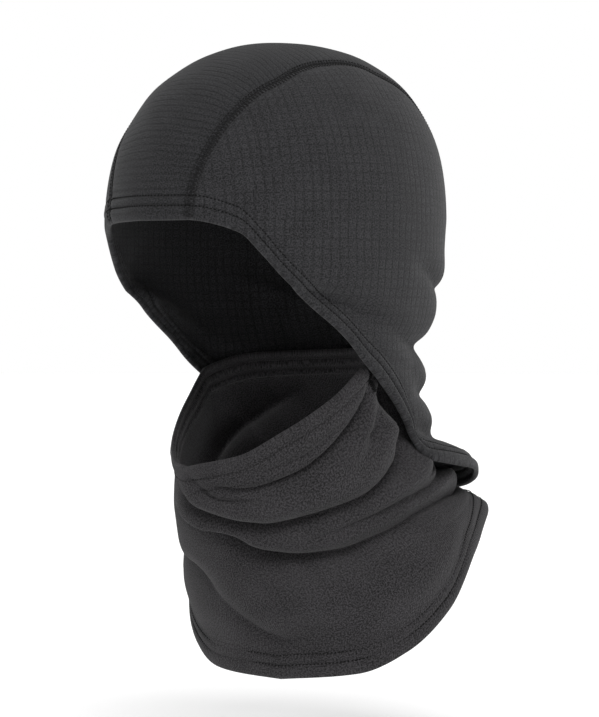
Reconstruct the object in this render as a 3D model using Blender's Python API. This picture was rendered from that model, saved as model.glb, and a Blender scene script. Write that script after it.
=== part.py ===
"""Hinged balaclava: a three-panel hood sewn to a neck gaiter.

The wearer looks along -Y, the wearer's left side is +X, and +Z is up. The origin is the centre of the head,
level with the ears. Lengths in the tables are in millimetres, and MM turns them into metres.
"""
import math

import bmesh
import bpy
import numpy as np

MM = 0.001

# cloth
FLEECE = 2.4            # thickness of the grid fleece of the hood
JERSEY = 2.0            # thickness of the smooth fleece of the gaiter
GAP = 1.0               # space left between neighbouring pieces of cloth
SIDE_GAP = 1.9          # space left between a side panel and the hood's hem, which turns corners there
THREAD = 0.6            # thickness of a row of stitches
ROW_WIDTH = 1.0         # width of a row of stitches
JOIN_PROUD = 3.4        # the join seam's outer side, from the gaiter's face, just inside the nape flap
PROUD = 1.5             # how far stitches stand off the cloth, to their outer side from the cloth's face
HEM = 14.0              # width of every folded hem
FIRST_ROW = 6.6         # first row of stitches, from the folded edge
SECOND_ROW = 12.2       # second row of stitches, from the folded edge
FLATLOCK = 6.0          # width of the flatlock seams
SEAM_STEPS = 34         # stretches that a flatlock seam and the panels beside it are divided into

# the hood's dome above the widest part of the head
WIDEST = 35.0           # height of the widest ring
DOME = 98.7             # rise from the widest ring to the crown
ROUNDNESS = 2.25        # exponent of the dome's section, 2 is a circle
BACK_FULLER = 0.2       # the back of the dome is fuller than the front by this much

# rings of the hood: height, half width, y of the widest point, y at the front, y at the back
HOOD_RINGS = (
    (35, 84, 6.6, -99, 113),
    (8, 83, 8, -97, 109),
    (-15, 79, 11, -92, 100),
    (-36, 74, 15, -84, 89),
    (-50, 71.5, 20, -75, 92),
    (-64, 69, 26, -62, 94),
    (-78, 68, 33, -50, 97),
    (-85, 67, 38, -45, 100),
    (-92, 68, 48, -40, 115),
    (-98, 70.5, 57, -38, 130),
    (-105, 73.5, 64, -35, 140),
    (-113, 74, 66, -35, 143),
    (-124, 71, 62, -35, 138),
)
AXIS_Y = ((35, 6.6), (8, 9), (-50, 20), (-124, 20))     # height and y of the line that angles are taken about

# height of the hood's edge by angle: -90 is the forehead, 0 the side, 90 the nape
HOOD_EDGE = (
    (-90, 32), (-72, 31.5), (-57, 25), (-50, 13), (-43, -1), (-33, -17), (-20, -34), (-13, -44),
    (-3, -54), (13, -71), (22, -85), (25, -94), (29, -99), (38, -101), (62, -106), (77, -117), (90, -121),
)

# the seam between crown and side panel, as fractions of the way to the hood's edge: (backwards, sideways)
SEAM_LINE = (
    (-1, 0.31), (-0.8, 0.29), (-0.5, 0.3), (-0.3, 0.285), (-0.14, 0.245), (0, 0.208), (0.15, 0.187),
    (0.4, 0.18), (0.6, 0.19), (1, 0.32),
)

# loops of the gaiter, top hem to bib hem: half width, y of the widest, front y, back y, roundness of the front,
# turn of the loop towards the wearer's left in degrees
GAITER_LOOPS = (
    (63, 8, -63, 74, 1.5, 0),
    (63, 20, -57, 84, 1.6, 2),
    (68, 34, -40, 91, 1.9, 6),
    (83, 50, -30, 124, 2, 14),
    (87, 56, -26, 133, 2, 20),
)
# height of each loop by angle from its front
GAITER_HEIGHTS = (
    ((0, -104), (30, -98), (50, -84), (70, -67), (90, -50), (120, -41), (180, -38)),
    ((0, -128), (30, -124), (50, -114), (70, -100), (90, -84), (120, -70), (180, -62)),
    ((0, -154), (30, -151), (50, -143), (70, -131), (90, -114), (120, -99), (180, -91)),
    ((0, -186), (30, -182), (50, -174), (70, -158), (90, -138), (120, -119), (180, -112)),
    ((0, -219), (30, -215), (50, -203), (70, -181), (90, -151), (120, -131), (180, -128)),
)
MASK_DEPTH = 0.26       # share of the gaiter's length that the lifting front takes
MASK_SIDE = 8.0         # the mask ends this many degrees in front of the widest point
COLLAR_SIDE = 5.0       # the collar behind it begins this many degrees in front of the widest point
NECK_FOOT = 0.62        # share at which the neck panel meets the bib
LABEL_TOP = 0.62        # the label hangs from this share of the way down the nape
LABEL_LENGTH = 0.07     # and is this share long
TACK = 9.0              # length of a bar tack

# joint axes
NAPE_AXIS = (0.0, 0.144, -0.1215)
EAR_AXIS = (0.0, 0.008, -0.05)

# colours
CHARCOAL = (0.052, 0.050, 0.054, 1)
SMOOTH = (0.058, 0.055, 0.060, 1)
THREAD_BLACK = (0.020, 0.019, 0.021, 1)
LABEL_GREY = (0.35, 0.35, 0.36, 1)


def eased(x, table, column=1):
    """A smooth curve through a table's points that never overshoots them."""
    rows = sorted(table)
    xs = np.array([row[0] for row in rows], float)
    ys = np.array([row[column] for row in rows], float)
    x = np.clip(np.asarray(x, float), xs[0], xs[-1])
    i = np.clip(np.searchsorted(xs, x, side="right") - 1, 0, len(xs) - 2)
    slope = np.diff(ys) / np.diff(xs)
    tangent = np.concatenate([slope[:1], np.zeros(len(xs) - 2), slope[-1:]])
    for k in range(1, len(xs) - 1):
        if slope[k - 1] * slope[k] > 0:
            tangent[k] = 2 * slope[k - 1] * slope[k] / (slope[k - 1] + slope[k])
    h = xs[i + 1] - xs[i]
    s = (x - xs[i]) / h
    start = (2 * s**3 - 3 * s**2 + 1) * ys[i] + (s**3 - 2 * s**2 + s) * h * tangent[i]
    end = (3 * s**2 - 2 * s**3) * ys[i + 1] + (s**3 - s**2) * h * tangent[i + 1]
    return start + end


# ---- the hood's surface

def ring_point(angle, height, shrink=1.0):
    """Where a line from the hood's axis, at an angle, meets the ring at this height."""
    half = eased(height, HOOD_RINGS, 1) * shrink
    middle = eased(height, HOOD_RINGS, 2)
    front = (middle - eased(height, HOOD_RINGS, 3)) * shrink
    back = (eased(height, HOOD_RINGS, 4) - middle) * shrink
    axis = eased(height, AXIS_Y)
    cx = math.cos(angle)
    sy = math.sin(angle)
    shift = axis - middle
    for depth, wanted in ((back, 1), (front, -1)):
        a = (cx / half)**2 + (sy / depth)**2
        b = 2 * shift * sy / depth**2
        c = (shift / depth)**2 - 1
        reach = (-b + np.sqrt(b * b - 4 * a * c)) / (2 * a)
        y = axis + reach * sy
        hit = (y - middle) * wanted >= 0
        if wanted == 1:
            x_out, y_out = reach * cx, y
            keep = hit
        else:
            x_out = np.where(keep, x_out, reach * cx)
            y_out = np.where(keep, y_out, y)
    return x_out, y_out


def hood_edge(angle):
    """Height of the hood's edge; both sides of the head are alike."""
    degrees = math.degrees(angle)
    if degrees > 90:
        degrees = 180 - degrees
    if degrees < -90:
        degrees = -180 - degrees
    return float(eased(degrees, HOOD_EDGE))


MERIDIANS = {}


def meridian(angle):
    """Points from the crown down to the edge at one angle, with the distance run."""
    key = round(angle, 6)
    if key in MERIDIANS:
        return MERIDIANS[key]
    power = 2 / (ROUNDNESS + BACK_FULLER * math.sin(angle))
    rise = np.linspace(math.pi / 2, 0, 160)
    shrink = np.maximum(np.cos(rise), 1e-6)**power
    width, y = ring_point(angle, WIDEST)
    middle = eased(WIDEST, HOOD_RINGS, 2)
    dome = np.stack([width * shrink, middle + (y - middle) * shrink, WIDEST + DOME * np.sin(rise)**power], 1)
    heights = np.linspace(WIDEST, hood_edge(angle), 200)[1:]
    x, y = ring_point(angle, heights)
    points = np.vstack([dome, np.stack([x, y, heights], 1)])
    run = np.concatenate([[0], np.cumsum(np.linalg.norm(np.diff(points, axis=0), axis=1))])
    MERIDIANS[key] = (points, run)
    return MERIDIANS[key]


def hood_point(angle, share):
    """A point on the hood's outer face, a share of the way from the crown to the edge."""
    points, run = meridian(angle)
    return np.array([np.interp(share * run[-1], run, points[:, i]) for i in range(3)])


def flat_point(sideways, backwards):
    """The hood's outer face laid out as a disc: its middle is the crown and its rim the edge."""
    return hood_point(math.atan2(backwards, sideways), math.hypot(sideways, backwards))


def edge_share(angle, distance):
    """The share of the way down that lies this far from the edge."""
    return 1 - distance / meridian(angle)[1][-1]


def seam_share(backwards):
    return float(eased(backwards, SEAM_LINE))


def stations(steps):
    """Places along the seam from the forehead to the nape, closer together at the nape where the cloth flares."""
    inner = HEM + GAP
    first = seam_end(-1, inner)
    last = seam_end(1, inner)
    return [first + (last - first) * (1 - (1 - k / steps)**1.4) for k in range(steps + 1)]


def seam_end(side, distance):
    """Where the seam meets the line at this distance from the edge: side -1 is the front, 1 the nape."""
    backwards = side * 0.9
    for _ in range(12):
        sideways = seam_share(backwards)
        angle = math.atan2(backwards, sideways)
        backwards = side * math.sqrt(edge_share(angle, distance)**2 - sideways**2)
    return backwards


# ---- the gaiter's surface

def gaiter_point(share, angle):
    """A point on the gaiter's outer face: share 0 is the top hem, 1 the bib hem; angle as on the hood."""
    steps = [i / (len(GAITER_LOOPS) - 1) for i in range(len(GAITER_LOOPS))]

    def along(column):
        return float(eased(share, [(s, loop[column]) for s, loop in zip(steps, GAITER_LOOPS)]))

    half, middle, front, back, roundness, turn = (along(i) for i in range(6))
    cx = math.cos(angle)
    sy = math.sin(angle)
    power = 2 / (roundness if sy < 0 else 2.0)
    depth = back - middle if sy > 0 else middle - front
    x = half * math.copysign(abs(cx)**power, cx)
    y = middle + depth * math.copysign(abs(sy)**power, sy)
    degrees = abs((math.degrees(angle) + 90 - turn + 180) % 360 - 180)
    heights = [(s, float(eased(degrees, table))) for s, table in zip(steps, GAITER_HEIGHTS)]
    return np.array([x, y, float(eased(share, heights))])


def hem_share(distance, angle, from_bib):
    """The share that lies this far from the top hem or the bib hem."""
    shares = np.linspace(1, 0.6, 30) if from_bib else np.linspace(0, 0.5, 30)
    points = np.array([gaiter_point(s, angle) for s in shares])
    run = np.concatenate([[0], np.cumsum(np.linalg.norm(np.diff(points, axis=0), axis=1))])
    return float(np.interp(distance, run, shares))


# ---- meshes

def material(name, colour, roughness):
    made = bpy.data.materials.new(name)
    made.use_nodes = True
    shader = made.node_tree.nodes["Principled BSDF"]
    shader.inputs["Base Color"].default_value = colour
    shader.inputs["Roughness"].default_value = roughness
    shader.inputs["Metallic"].default_value = 0.0
    return made


def pushed(grid, distance, closed):
    """The same grid moved out along its own normals."""
    grid = np.asarray(grid, float)
    if closed:
        across = np.roll(grid, -1, axis=1) - np.roll(grid, 1, axis=1)
    else:
        across = np.gradient(grid, axis=1)
    down = np.gradient(grid, axis=0)
    normal = np.cross(across, down)
    normal /= np.linalg.norm(normal, axis=2, keepdims=True)
    outward = grid - np.array([0, 20, 0])
    outward[..., 2] *= 0.3
    if (normal * outward).sum() < 0:
        normal = -normal
    return grid + normal * distance


def cloth(name, grid, thickness, surface, closed=False, proud=0.0, pivot=None):
    """One piece of cloth: a grid of points on its outer face, given a wall by Solidify."""
    grid = np.asarray(grid, float)
    if proud:
        grid = pushed(grid, proud, closed)
    rows, columns = grid.shape[:2]
    mesh = bpy.data.meshes.new(name)
    bm = bmesh.new()
    offset = np.array(pivot.location) if pivot else np.zeros(3)
    points = [[bm.verts.new(tuple(grid[r, c] * MM - offset)) for c in range(columns)] for r in range(rows)]
    for r in range(rows - 1):
        for c in range(columns if closed else columns - 1):
            d = (c + 1) % columns
            bm.faces.new((points[r][c], points[r][d], points[r + 1][d], points[r + 1][c]))
    bmesh.ops.remove_doubles(bm, verts=bm.verts, dist=1e-6)
    bm.normal_update()
    centre = np.array([0, 20 * MM, 0]) - offset
    facing = 0.0
    for face in bm.faces:
        out = np.array(face.calc_center_median()) - centre
        out[2] *= 0.3
        facing += face.calc_area() * float(np.dot(out, np.array(face.normal)))
    if facing < 0:
        bmesh.ops.reverse_faces(bm, faces=bm.faces)
    bm.to_mesh(mesh)
    bm.free()
    piece = bpy.data.objects.new(name, mesh)
    bpy.context.scene.collection.objects.link(piece)
    mesh.materials.append(surface)
    mesh.shade_smooth()
    wall = piece.modifiers.new("wall", "SOLIDIFY")
    wall.thickness = thickness * MM
    wall.offset = -1
    wall.use_even_offset = False
    if pivot:
        piece.parent = pivot
    return piece


def pivot(name, place):
    empty = bpy.data.objects.new(name, None)
    empty.location = place
    bpy.context.scene.collection.objects.link(empty)
    return empty


# ---- the hood

def side_panel(name, side, surface, turning):
    """From the flatlock seam down to the hem; its rows run from the temple to the nape."""
    rows = 8
    places = stations(SEAM_STEPS)
    columns = SEAM_STEPS
    inner = HEM + SIDE_GAP
    start = math.atan2(places[0], seam_share(places[0]))
    finish = math.atan2(places[-1], seam_share(places[-1]))
    grid = np.zeros((rows + 1, columns + 1, 3))
    for c, backwards in enumerate(places):
        along = (backwards - places[0]) / (places[-1] - places[0])
        seam = np.array([seam_share(backwards) + GAP / 250, backwards])
        angle = start + (finish - start) * along
        share = edge_share(angle, inner)
        edge = np.array([math.cos(angle), math.sin(angle)]) * share
        if c in (0, columns):
            edge[0] += GAP / 250
            seam = edge
        for r in range(rows + 1):
            sideways, back = seam + (edge - seam) * r / rows
            grid[r, c] = flat_point(side * sideways, back)
    return cloth(name, grid, FLEECE, surface, pivot=turning)


def crown_panel(surface, turning):
    """The strip over the top of the head; its end rows follow the hem."""
    columns = 8
    places = stations(SEAM_STEPS)
    inner = HEM + GAP
    grid = np.zeros((len(places), columns + 1, 3))
    for r, backwards in enumerate(places):
        half = seam_share(backwards) - GAP / 250
        end = places[0] if backwards < 0 else places[-1]
        bulge = abs(backwards / end)**4
        for c in range(columns + 1):
            sideways = half * (2 * c / columns - 1)
            angle = math.atan2(end, sideways)
            on_hem = edge_share(angle, inner) * math.sin(angle)
            grid[r, c] = flat_point(sideways, backwards + bulge * (on_hem - end))
    return cloth("crown_panel", grid, FLEECE, surface, pivot=turning)


def flatlock_seam(name, side, surface, turning):
    """The ladder of thread over the joint between crown and side panel."""
    places = stations(SEAM_STEPS)
    reach = FLATLOCK / 2 / 200
    grid = np.zeros((3, len(places), 3))
    for c, backwards in enumerate(places):
        for r, offset in enumerate((-reach, 0, reach)):
            grid[r, c] = flat_point(side * (seam_share(backwards) + offset), backwards)
    return cloth(name, grid, THREAD, surface, proud=PROUD + THREAD, pivot=turning)


def hood_band(name, distances, thickness, surface, turning, proud=0.0):
    """A loop round the hood's edge, between distances from that edge."""
    columns = 76
    grid = np.zeros((len(distances), columns, 3))
    for c in range(columns):
        angle = -math.pi + 2 * math.pi * c / columns
        for r, distance in enumerate(distances):
            grid[r, c] = hood_point(angle, edge_share(angle, distance))
    return cloth(name, grid, thickness, surface, closed=True, proud=proud, pivot=turning)


def care_label(surface, turning):
    """A blank label inside the nape, lying against the crown panel."""
    grid = np.zeros((5, 5, 3))
    for r in range(5):
        for c in range(5):
            angle = math.pi / 2 + math.radians(3 * (c - 2))
            grid[r, c] = hood_point(angle, LABEL_TOP + LABEL_LENGTH * r / 4)
    return cloth("care_label", grid, THREAD, surface, proud=-FLEECE - GAP, pivot=turning)


# ---- the gaiter and its lifting front

def mask_band(name, shares, thickness, surface, turning, proud=0.0):
    """Part of the gaiter's front, from ear to ear, between shares of its length."""
    columns = 28
    start = -math.pi + math.radians(MASK_SIDE)
    finish = -math.radians(MASK_SIDE)
    grid = np.zeros((len(shares), columns + 1, 3))
    for c in range(columns + 1):
        angle = start + (finish - start) * c / columns
        for r, share in enumerate(shares):
            grid[r, c] = gaiter_point(share(angle), angle)
    return cloth(name, grid, thickness, surface, proud=proud, pivot=turning)


def gaiter_patch(name, angles, shares, thickness, surface, proud=0.0):
    """Part of the gaiter between two angles in degrees; the angles run over the back."""
    first, last, columns = angles
    grid = np.zeros((len(shares), columns + 1, 3))
    for c in range(columns + 1):
        angle = math.radians(first + (last - first) * c / columns)
        for r, share in enumerate(shares):
            grid[r, c] = gaiter_point(share(angle), angle)
    return cloth(name, grid, thickness, surface, proud=proud)


def gaiter_band(name, shares, thickness, surface, proud=0.0):
    """A closed loop of the gaiter between shares of its length."""
    columns = 52
    grid = np.zeros((len(shares), columns, 3))
    for c in range(columns):
        angle = -math.pi + 2 * math.pi * c / columns
        for r, share in enumerate(shares):
            grid[r, c] = gaiter_point(share(angle), angle)
    return cloth(name, grid, thickness, surface, closed=True, proud=proud)


def fixed(share):
    return lambda angle: share


def top_distance(distance):
    return lambda angle: hem_share(distance, angle, False)


def bib_distance(distance):
    return lambda angle: hem_share(distance, angle, True)


def between(first, last, steps):
    """Shares evenly spaced from one hem line or share to another."""
    return [lambda angle, k=k: first(angle) + (last(angle) - first(angle)) * k / steps for k in range(steps + 1)]


def clear_scene():
    for thing in list(bpy.data.objects):
        bpy.data.objects.remove(thing)


def build():
    clear_scene()
    fleece = material("grid_fleece", CHARCOAL, 0.9)
    smooth = material("smooth_fleece", SMOOTH, 0.85)
    thread = material("thread", THREAD_BLACK, 0.5)
    label = material("label_tape", LABEL_GREY, 0.6)

    nape = pivot("nape_axis", NAPE_AXIS)
    crown_panel(fleece, nape)
    side_panel("side_panel_left", 1, fleece, nape)
    side_panel("side_panel_right", -1, fleece, nape)
    flatlock_seam("flatlock_seam_left", 1, thread, nape)
    flatlock_seam("flatlock_seam_right", -1, thread, nape)
    hood_band("hood_hem", (0, FIRST_ROW, SECOND_ROW, HEM), FLEECE, fleece, nape)
    half_row = ROW_WIDTH / 2
    rows = (("outer", FIRST_ROW), ("inner", SECOND_ROW))
    for row, place in rows:
        hood_band("hood_hem_thread_" + row, (place - half_row, place + half_row), THREAD, thread, nape,
                  proud=PROUD + THREAD)
    care_label(label, nape)

    ears = pivot("ear_axis", EAR_AXIS)
    mask_foot = fixed(MASK_DEPTH)
    mask_band("mask_hem", (top_distance(0), top_distance(FIRST_ROW), top_distance(HEM)), JERSEY, smooth, ears)
    mask_band("mask_panel", between(top_distance(HEM + GAP), mask_foot, 3), JERSEY, smooth, ears)
    for row, place in rows:
        mask_band("mask_hem_thread_" + row, (top_distance(place - half_row), top_distance(place + half_row)),
                  THREAD, thread, ears, proud=PROUD + THREAD)

    collar = (-COLLAR_SIDE, 180 + COLLAR_SIDE, 26)
    gaiter_patch("collar_back", collar, between(top_distance(0), mask_foot, 3), JERSEY, smooth)
    gaiter_band("neck_panel", between(fixed(MASK_DEPTH + 0.012), fixed(NECK_FOOT), 4), JERSEY, smooth)
    gaiter_band("bib_panel", between(fixed(NECK_FOOT + 0.008), bib_distance(HEM + GAP), 4), JERSEY, smooth)
    seam = (88.5, 91.5, 2)
    gaiter_patch("gaiter_back_seam", seam, between(fixed(NECK_FOOT + 0.01), bib_distance(HEM + GAP), 6), THREAD,
                 thread, proud=PROUD + THREAD)
    gaiter_patch("nape_join_seam", (72, 108, 8), (bib_distance(9), bib_distance(6)), THREAD, thread,
                 proud=JOIN_PROUD)
    for side, angles in (("left", (2, 6, 2)), ("right", (174, 178, 2))):
        gaiter_patch("bar_tack_" + side, angles, (top_distance(2), top_distance(2 + TACK)), THREAD, thread,
                     proud=PROUD + THREAD)
    gaiter_band("bib_hem", (bib_distance(HEM), bib_distance(FIRST_ROW), bib_distance(0)), JERSEY, smooth)
    for row, place in rows:
        gaiter_band("bib_hem_thread_" + row, (bib_distance(place + half_row), bib_distance(place - half_row)),
                    THREAD, thread, proud=PROUD + THREAD)


build()
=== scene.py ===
# %% [markdown]
# # A hinged balaclava in cloth and thread
# The part is a three-panel hood sewn at the nape to a neck gaiter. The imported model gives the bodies, the
# joints and the box; this script makes the cloth, the hems and every row of stitches around it.
# Read it from top to bottom: each code cell makes one thing and prints what it made.

# %% Load the frame
import math

import bpy
import numpy as np
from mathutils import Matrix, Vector


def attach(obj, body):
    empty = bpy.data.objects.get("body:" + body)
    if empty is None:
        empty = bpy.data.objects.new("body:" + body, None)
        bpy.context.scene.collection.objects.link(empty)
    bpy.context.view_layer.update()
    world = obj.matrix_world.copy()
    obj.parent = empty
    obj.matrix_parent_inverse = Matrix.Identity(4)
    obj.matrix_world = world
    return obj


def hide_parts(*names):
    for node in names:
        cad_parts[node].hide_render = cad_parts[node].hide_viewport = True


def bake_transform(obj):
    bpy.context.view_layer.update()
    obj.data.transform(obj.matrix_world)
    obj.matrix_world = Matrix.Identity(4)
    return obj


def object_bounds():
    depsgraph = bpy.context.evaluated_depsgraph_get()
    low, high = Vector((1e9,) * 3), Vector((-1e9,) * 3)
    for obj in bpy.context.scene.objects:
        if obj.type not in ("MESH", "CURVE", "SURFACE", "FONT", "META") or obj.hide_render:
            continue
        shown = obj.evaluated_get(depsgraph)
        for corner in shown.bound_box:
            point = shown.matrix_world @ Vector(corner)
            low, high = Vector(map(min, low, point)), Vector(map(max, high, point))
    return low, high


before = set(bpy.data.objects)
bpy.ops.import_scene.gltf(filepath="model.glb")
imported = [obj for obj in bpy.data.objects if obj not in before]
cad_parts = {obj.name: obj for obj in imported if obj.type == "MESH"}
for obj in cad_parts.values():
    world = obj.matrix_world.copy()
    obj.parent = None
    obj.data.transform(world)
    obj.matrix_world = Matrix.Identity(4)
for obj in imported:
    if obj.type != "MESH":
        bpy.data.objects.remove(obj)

cad_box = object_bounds()

# %% [markdown]
# The wearer looks along -Y, the left side is +X and +Z is up; the origin is the middle of the head, level
# with the ears. Lengths in the tables are millimetres, and MM turns them into metres at the very end.
# The camera stands level with the jaw, half way between the front and the left side, with a long lens so
# that the hood keeps its proportions.

# %% Camera
MM = 0.001
AIM = Vector((0.0121, 0.0121, -0.0435))     # what the camera looks at
VIEW_AZIMUTH = math.radians(45)
DISTANCE = 1.7
FRAME_HEIGHT = 0.4028                       # how much the picture shows from bottom to top at the aim
SENSOR = 36.0

toward_camera = Vector((math.sin(VIEW_AZIMUTH), -math.cos(VIEW_AZIMUTH), 0))
to_the_right = Vector((math.cos(VIEW_AZIMUTH), math.sin(VIEW_AZIMUTH), 0))
upward = Vector((0, 0, 1))

eye = bpy.data.cameras.new("camera")
eye.lens = SENSOR * DISTANCE / FRAME_HEIGHT
eye.sensor_width = SENSOR
camera = bpy.data.objects.new("camera", eye)
camera.location = AIM + toward_camera * DISTANCE
camera.rotation_euler = (-toward_camera).to_track_quat("-Z", "Y").to_euler()
bpy.context.scene.collection.objects.link(camera)
bpy.context.scene.camera = camera
print("lens", round(eye.lens, 1), "mm")

# %% [markdown]
# Studio cloth is lit by large soft sources: a key high above the camera, a weak fill on each side and one
# from above and behind. Suns with a wide angle do this evenly over the whole floor. The white room shows as
# white but gives less than a third of the light, so that the key still draws the folds of dark cloth.

# %% Room and lights
FLOOR_DROP = 0.045          # the floor lies this far under the lowest point
FLOOR_SIZE = 60
FLOOR_GLOW = 0.34           # a floor that glows a little stays white to its far edge
ROOM_LIGHT = 0.25           # the light that the room gives; the white that shows behind the object is 1


def soft_sun(name, toward, strength, softness):
    """A sun as wide as a soft box, from a direction given as right, towards the camera and up."""
    lamp = bpy.data.lights.new(name, "SUN")
    lamp.energy = strength
    lamp.angle = math.radians(softness)
    holder = bpy.data.objects.new(name, lamp)
    way = to_the_right * toward[0] + toward_camera * toward[1] + upward * toward[2]
    holder.rotation_euler = way.to_track_quat("Z", "Y").to_euler()
    bpy.context.scene.collection.objects.link(holder)
    return holder


soft_sun("key", (0.1, 0.62, 0.78), 1.75, 34)
soft_sun("fill", (0.9, 0.4, 0.1), 0.6, 60)
soft_sun("left", (-0.9, 0.3, 0.2), 0.2, 60)
soft_sun("top", (0.2, -0.5, 1.0), 0.75, 50)

room = bpy.data.worlds.new("white_room")
room.use_nodes = True
wires = room.node_tree
background = wires.nodes["Background"]
background.inputs["Color"].default_value = (1, 1, 1, 1)
seen = wires.nodes.new("ShaderNodeLightPath")
level = wires.nodes.new("ShaderNodeMapRange")
level.inputs["To Min"].default_value = ROOM_LIGHT
level.inputs["To Max"].default_value = 1.0
wires.links.new(seen.outputs["Is Camera Ray"], level.inputs["Value"])
wires.links.new(level.outputs["Result"], background.inputs["Strength"])
bpy.context.scene.world = room
bpy.context.scene.view_settings.view_transform = "Standard"

bpy.ops.mesh.primitive_plane_add(size=FLOOR_SIZE, location=(0, 0, cad_box[0][2] - FLOOR_DROP))
floor = bpy.context.object
floor.name = "floor"
pale = bpy.data.materials.new("pale_floor")
pale.use_nodes = True
chalk = pale.node_tree.nodes["Principled BSDF"]
chalk.inputs["Base Color"].default_value = (0.9, 0.9, 0.9, 1)
chalk.inputs["Roughness"].default_value = 0.9
chalk.inputs["Emission Color"].default_value = (1, 1, 1, 1)
chalk.inputs["Emission Strength"].default_value = FLOOR_GLOW
floor.data.materials.append(pale)
print("four soft suns, a white room and a pale floor")

# %% [markdown]
# Both garments are round a head, so one smooth curve through a few measured points does most of the drawing.
# `eased` is a monotone cubic: it passes through each point and never swings past one.

# %% A smooth curve through a table
def eased(x, table, column=1):
    rows = sorted(table)
    xs = np.array([row[0] for row in rows], float)
    ys = np.array([row[column] for row in rows], float)
    x = np.clip(np.asarray(x, float), xs[0], xs[-1])
    i = np.clip(np.searchsorted(xs, x, side="right") - 1, 0, len(xs) - 2)
    slope = np.diff(ys) / np.diff(xs)
    tangent = np.concatenate([slope[:1], np.zeros(len(xs) - 2), slope[-1:]])
    for k in range(1, len(xs) - 1):
        if slope[k - 1] * slope[k] > 0:
            tangent[k] = 2 * slope[k - 1] * slope[k] / (slope[k - 1] + slope[k])
    h = xs[i + 1] - xs[i]
    s = (x - xs[i]) / h
    start = (2 * s**3 - 3 * s**2 + 1) * ys[i] + (s**3 - 2 * s**2 + s) * h * tangent[i]
    end = (3 * s**2 - 2 * s**3) * ys[i + 1] + (s**3 - s**2) * h * tangent[i + 1]
    return start + end


def ramp(x, low, high):
    """0 below low, 1 above high, and smooth between."""
    t = np.clip((np.asarray(x, float) - low) / (high - low), 0, 1)
    return t * t * (3 - 2 * t)


# %% [markdown]
# ## The hood's form
# The hood is a dome above the brow, then rings that narrow to the neck and flare again at the nape. These are
# the same rings as the fixed frame's, so the cloth lies exactly on the solids it replaces. The whole hood can
# be laid out flat as a disc: its middle is the crown, its rim the hood's edge. Seams and hems are easy to
# say there.

# %% Rings of the hood
# height, half width, y of the widest point, y at the front, y at the back
HOOD_RINGS = (
    (35, 84, 6.6, -99, 113), (8, 83, 8, -97, 109), (-15, 79, 11, -92, 100), (-36, 74, 15, -84, 89),
    (-50, 71.5, 20, -75, 92), (-64, 69, 26, -62, 94), (-78, 68, 33, -50, 97), (-85, 67, 38, -45, 100),
    (-92, 68, 48, -40, 115), (-98, 70.5, 57, -38, 130), (-105, 73.5, 64, -35, 140), (-113, 74, 66, -35, 143),
    (-124, 71, 62, -35, 138),
)
AXIS_Y = ((35, 6.6), (8, 9), (-50, 20), (-124, 20))     # height and y of the line that angles are taken about
# height of the hood's edge by angle: -90 is the forehead, 0 the side, 90 the nape
HOOD_EDGE = (
    (-90, 32), (-72, 31.5), (-57, 25), (-50, 13), (-43, -1), (-33, -17), (-20, -34), (-13, -44),
    (-3, -54), (13, -71), (22, -85), (25, -94), (29, -99), (38, -101), (62, -106), (77, -117), (90, -121),
)
# the seam between crown and side panel on the disc: (backwards, sideways)
SEAM_LINE = (
    (-1, 0.31), (-0.8, 0.29), (-0.5, 0.3), (-0.3, 0.285), (-0.14, 0.245), (0, 0.208), (0.15, 0.187),
    (0.4, 0.18), (0.6, 0.19), (1, 0.32),
)
WIDEST = 35.0           # height of the widest ring
DOME = 98.7             # rise from the widest ring to the crown
ROUNDNESS = 2.25        # exponent of the dome's section, 2 is a circle
BACK_FULLER = 0.2       # the back of the dome is fuller than the front by this much
ANGLE_STEP = 0.5        # degrees between the lines of the grid of points
SHARE_STEPS = 400       # points of that grid between the crown and the edge
DOME_POINTS = 160
RING_POINTS = 200


def ring_point(angle, height):
    half = eased(height, HOOD_RINGS, 1)
    middle = eased(height, HOOD_RINGS, 2)
    front = middle - eased(height, HOOD_RINGS, 3)
    back = eased(height, HOOD_RINGS, 4) - middle
    axis = eased(height, AXIS_Y)
    cx = math.cos(angle)
    sy = math.sin(angle)
    shift = axis - middle
    ends = []
    for depth in (back, front):
        a = (cx / half)**2 + (sy / depth)**2
        b = 2 * shift * sy / depth**2
        c = (shift / depth)**2 - 1
        reach = (-b + np.sqrt(b * b - 4 * a * c)) / (2 * a)
        ends.append((reach * cx, axis + reach * sy))
    behind = ends[0][1] >= middle
    return np.where(behind, ends[0][0], ends[1][0]), np.where(behind, ends[0][1], ends[1][1])


def hood_edge(degrees):
    degrees = np.where(degrees > 90, 180 - degrees, degrees)
    degrees = np.where(degrees < -90, -180 - degrees, degrees)
    return eased(degrees, HOOD_EDGE)


def meridian(angle):
    """A line on the hood from the crown to the edge, and the distance run along it."""
    power = 2 / (ROUNDNESS + BACK_FULLER * math.sin(angle))
    rise = np.linspace(math.pi / 2, 0, DOME_POINTS)
    shrink = np.maximum(np.cos(rise), 1e-6)**power
    width, y = ring_point(angle, WIDEST)
    middle = eased(WIDEST, HOOD_RINGS, 2)
    dome = np.stack([width * shrink, middle + (y - middle) * shrink, WIDEST + DOME * np.sin(rise)**power], 1)
    heights = np.linspace(WIDEST, float(hood_edge(math.degrees(angle))), RING_POINTS)[1:]
    x, y = ring_point(angle, heights)
    points = np.vstack([dome, np.stack([x, y, heights], 1)])
    run = np.concatenate([[0], np.cumsum(np.linalg.norm(np.diff(points, axis=0), axis=1))])
    return points, run


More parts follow.
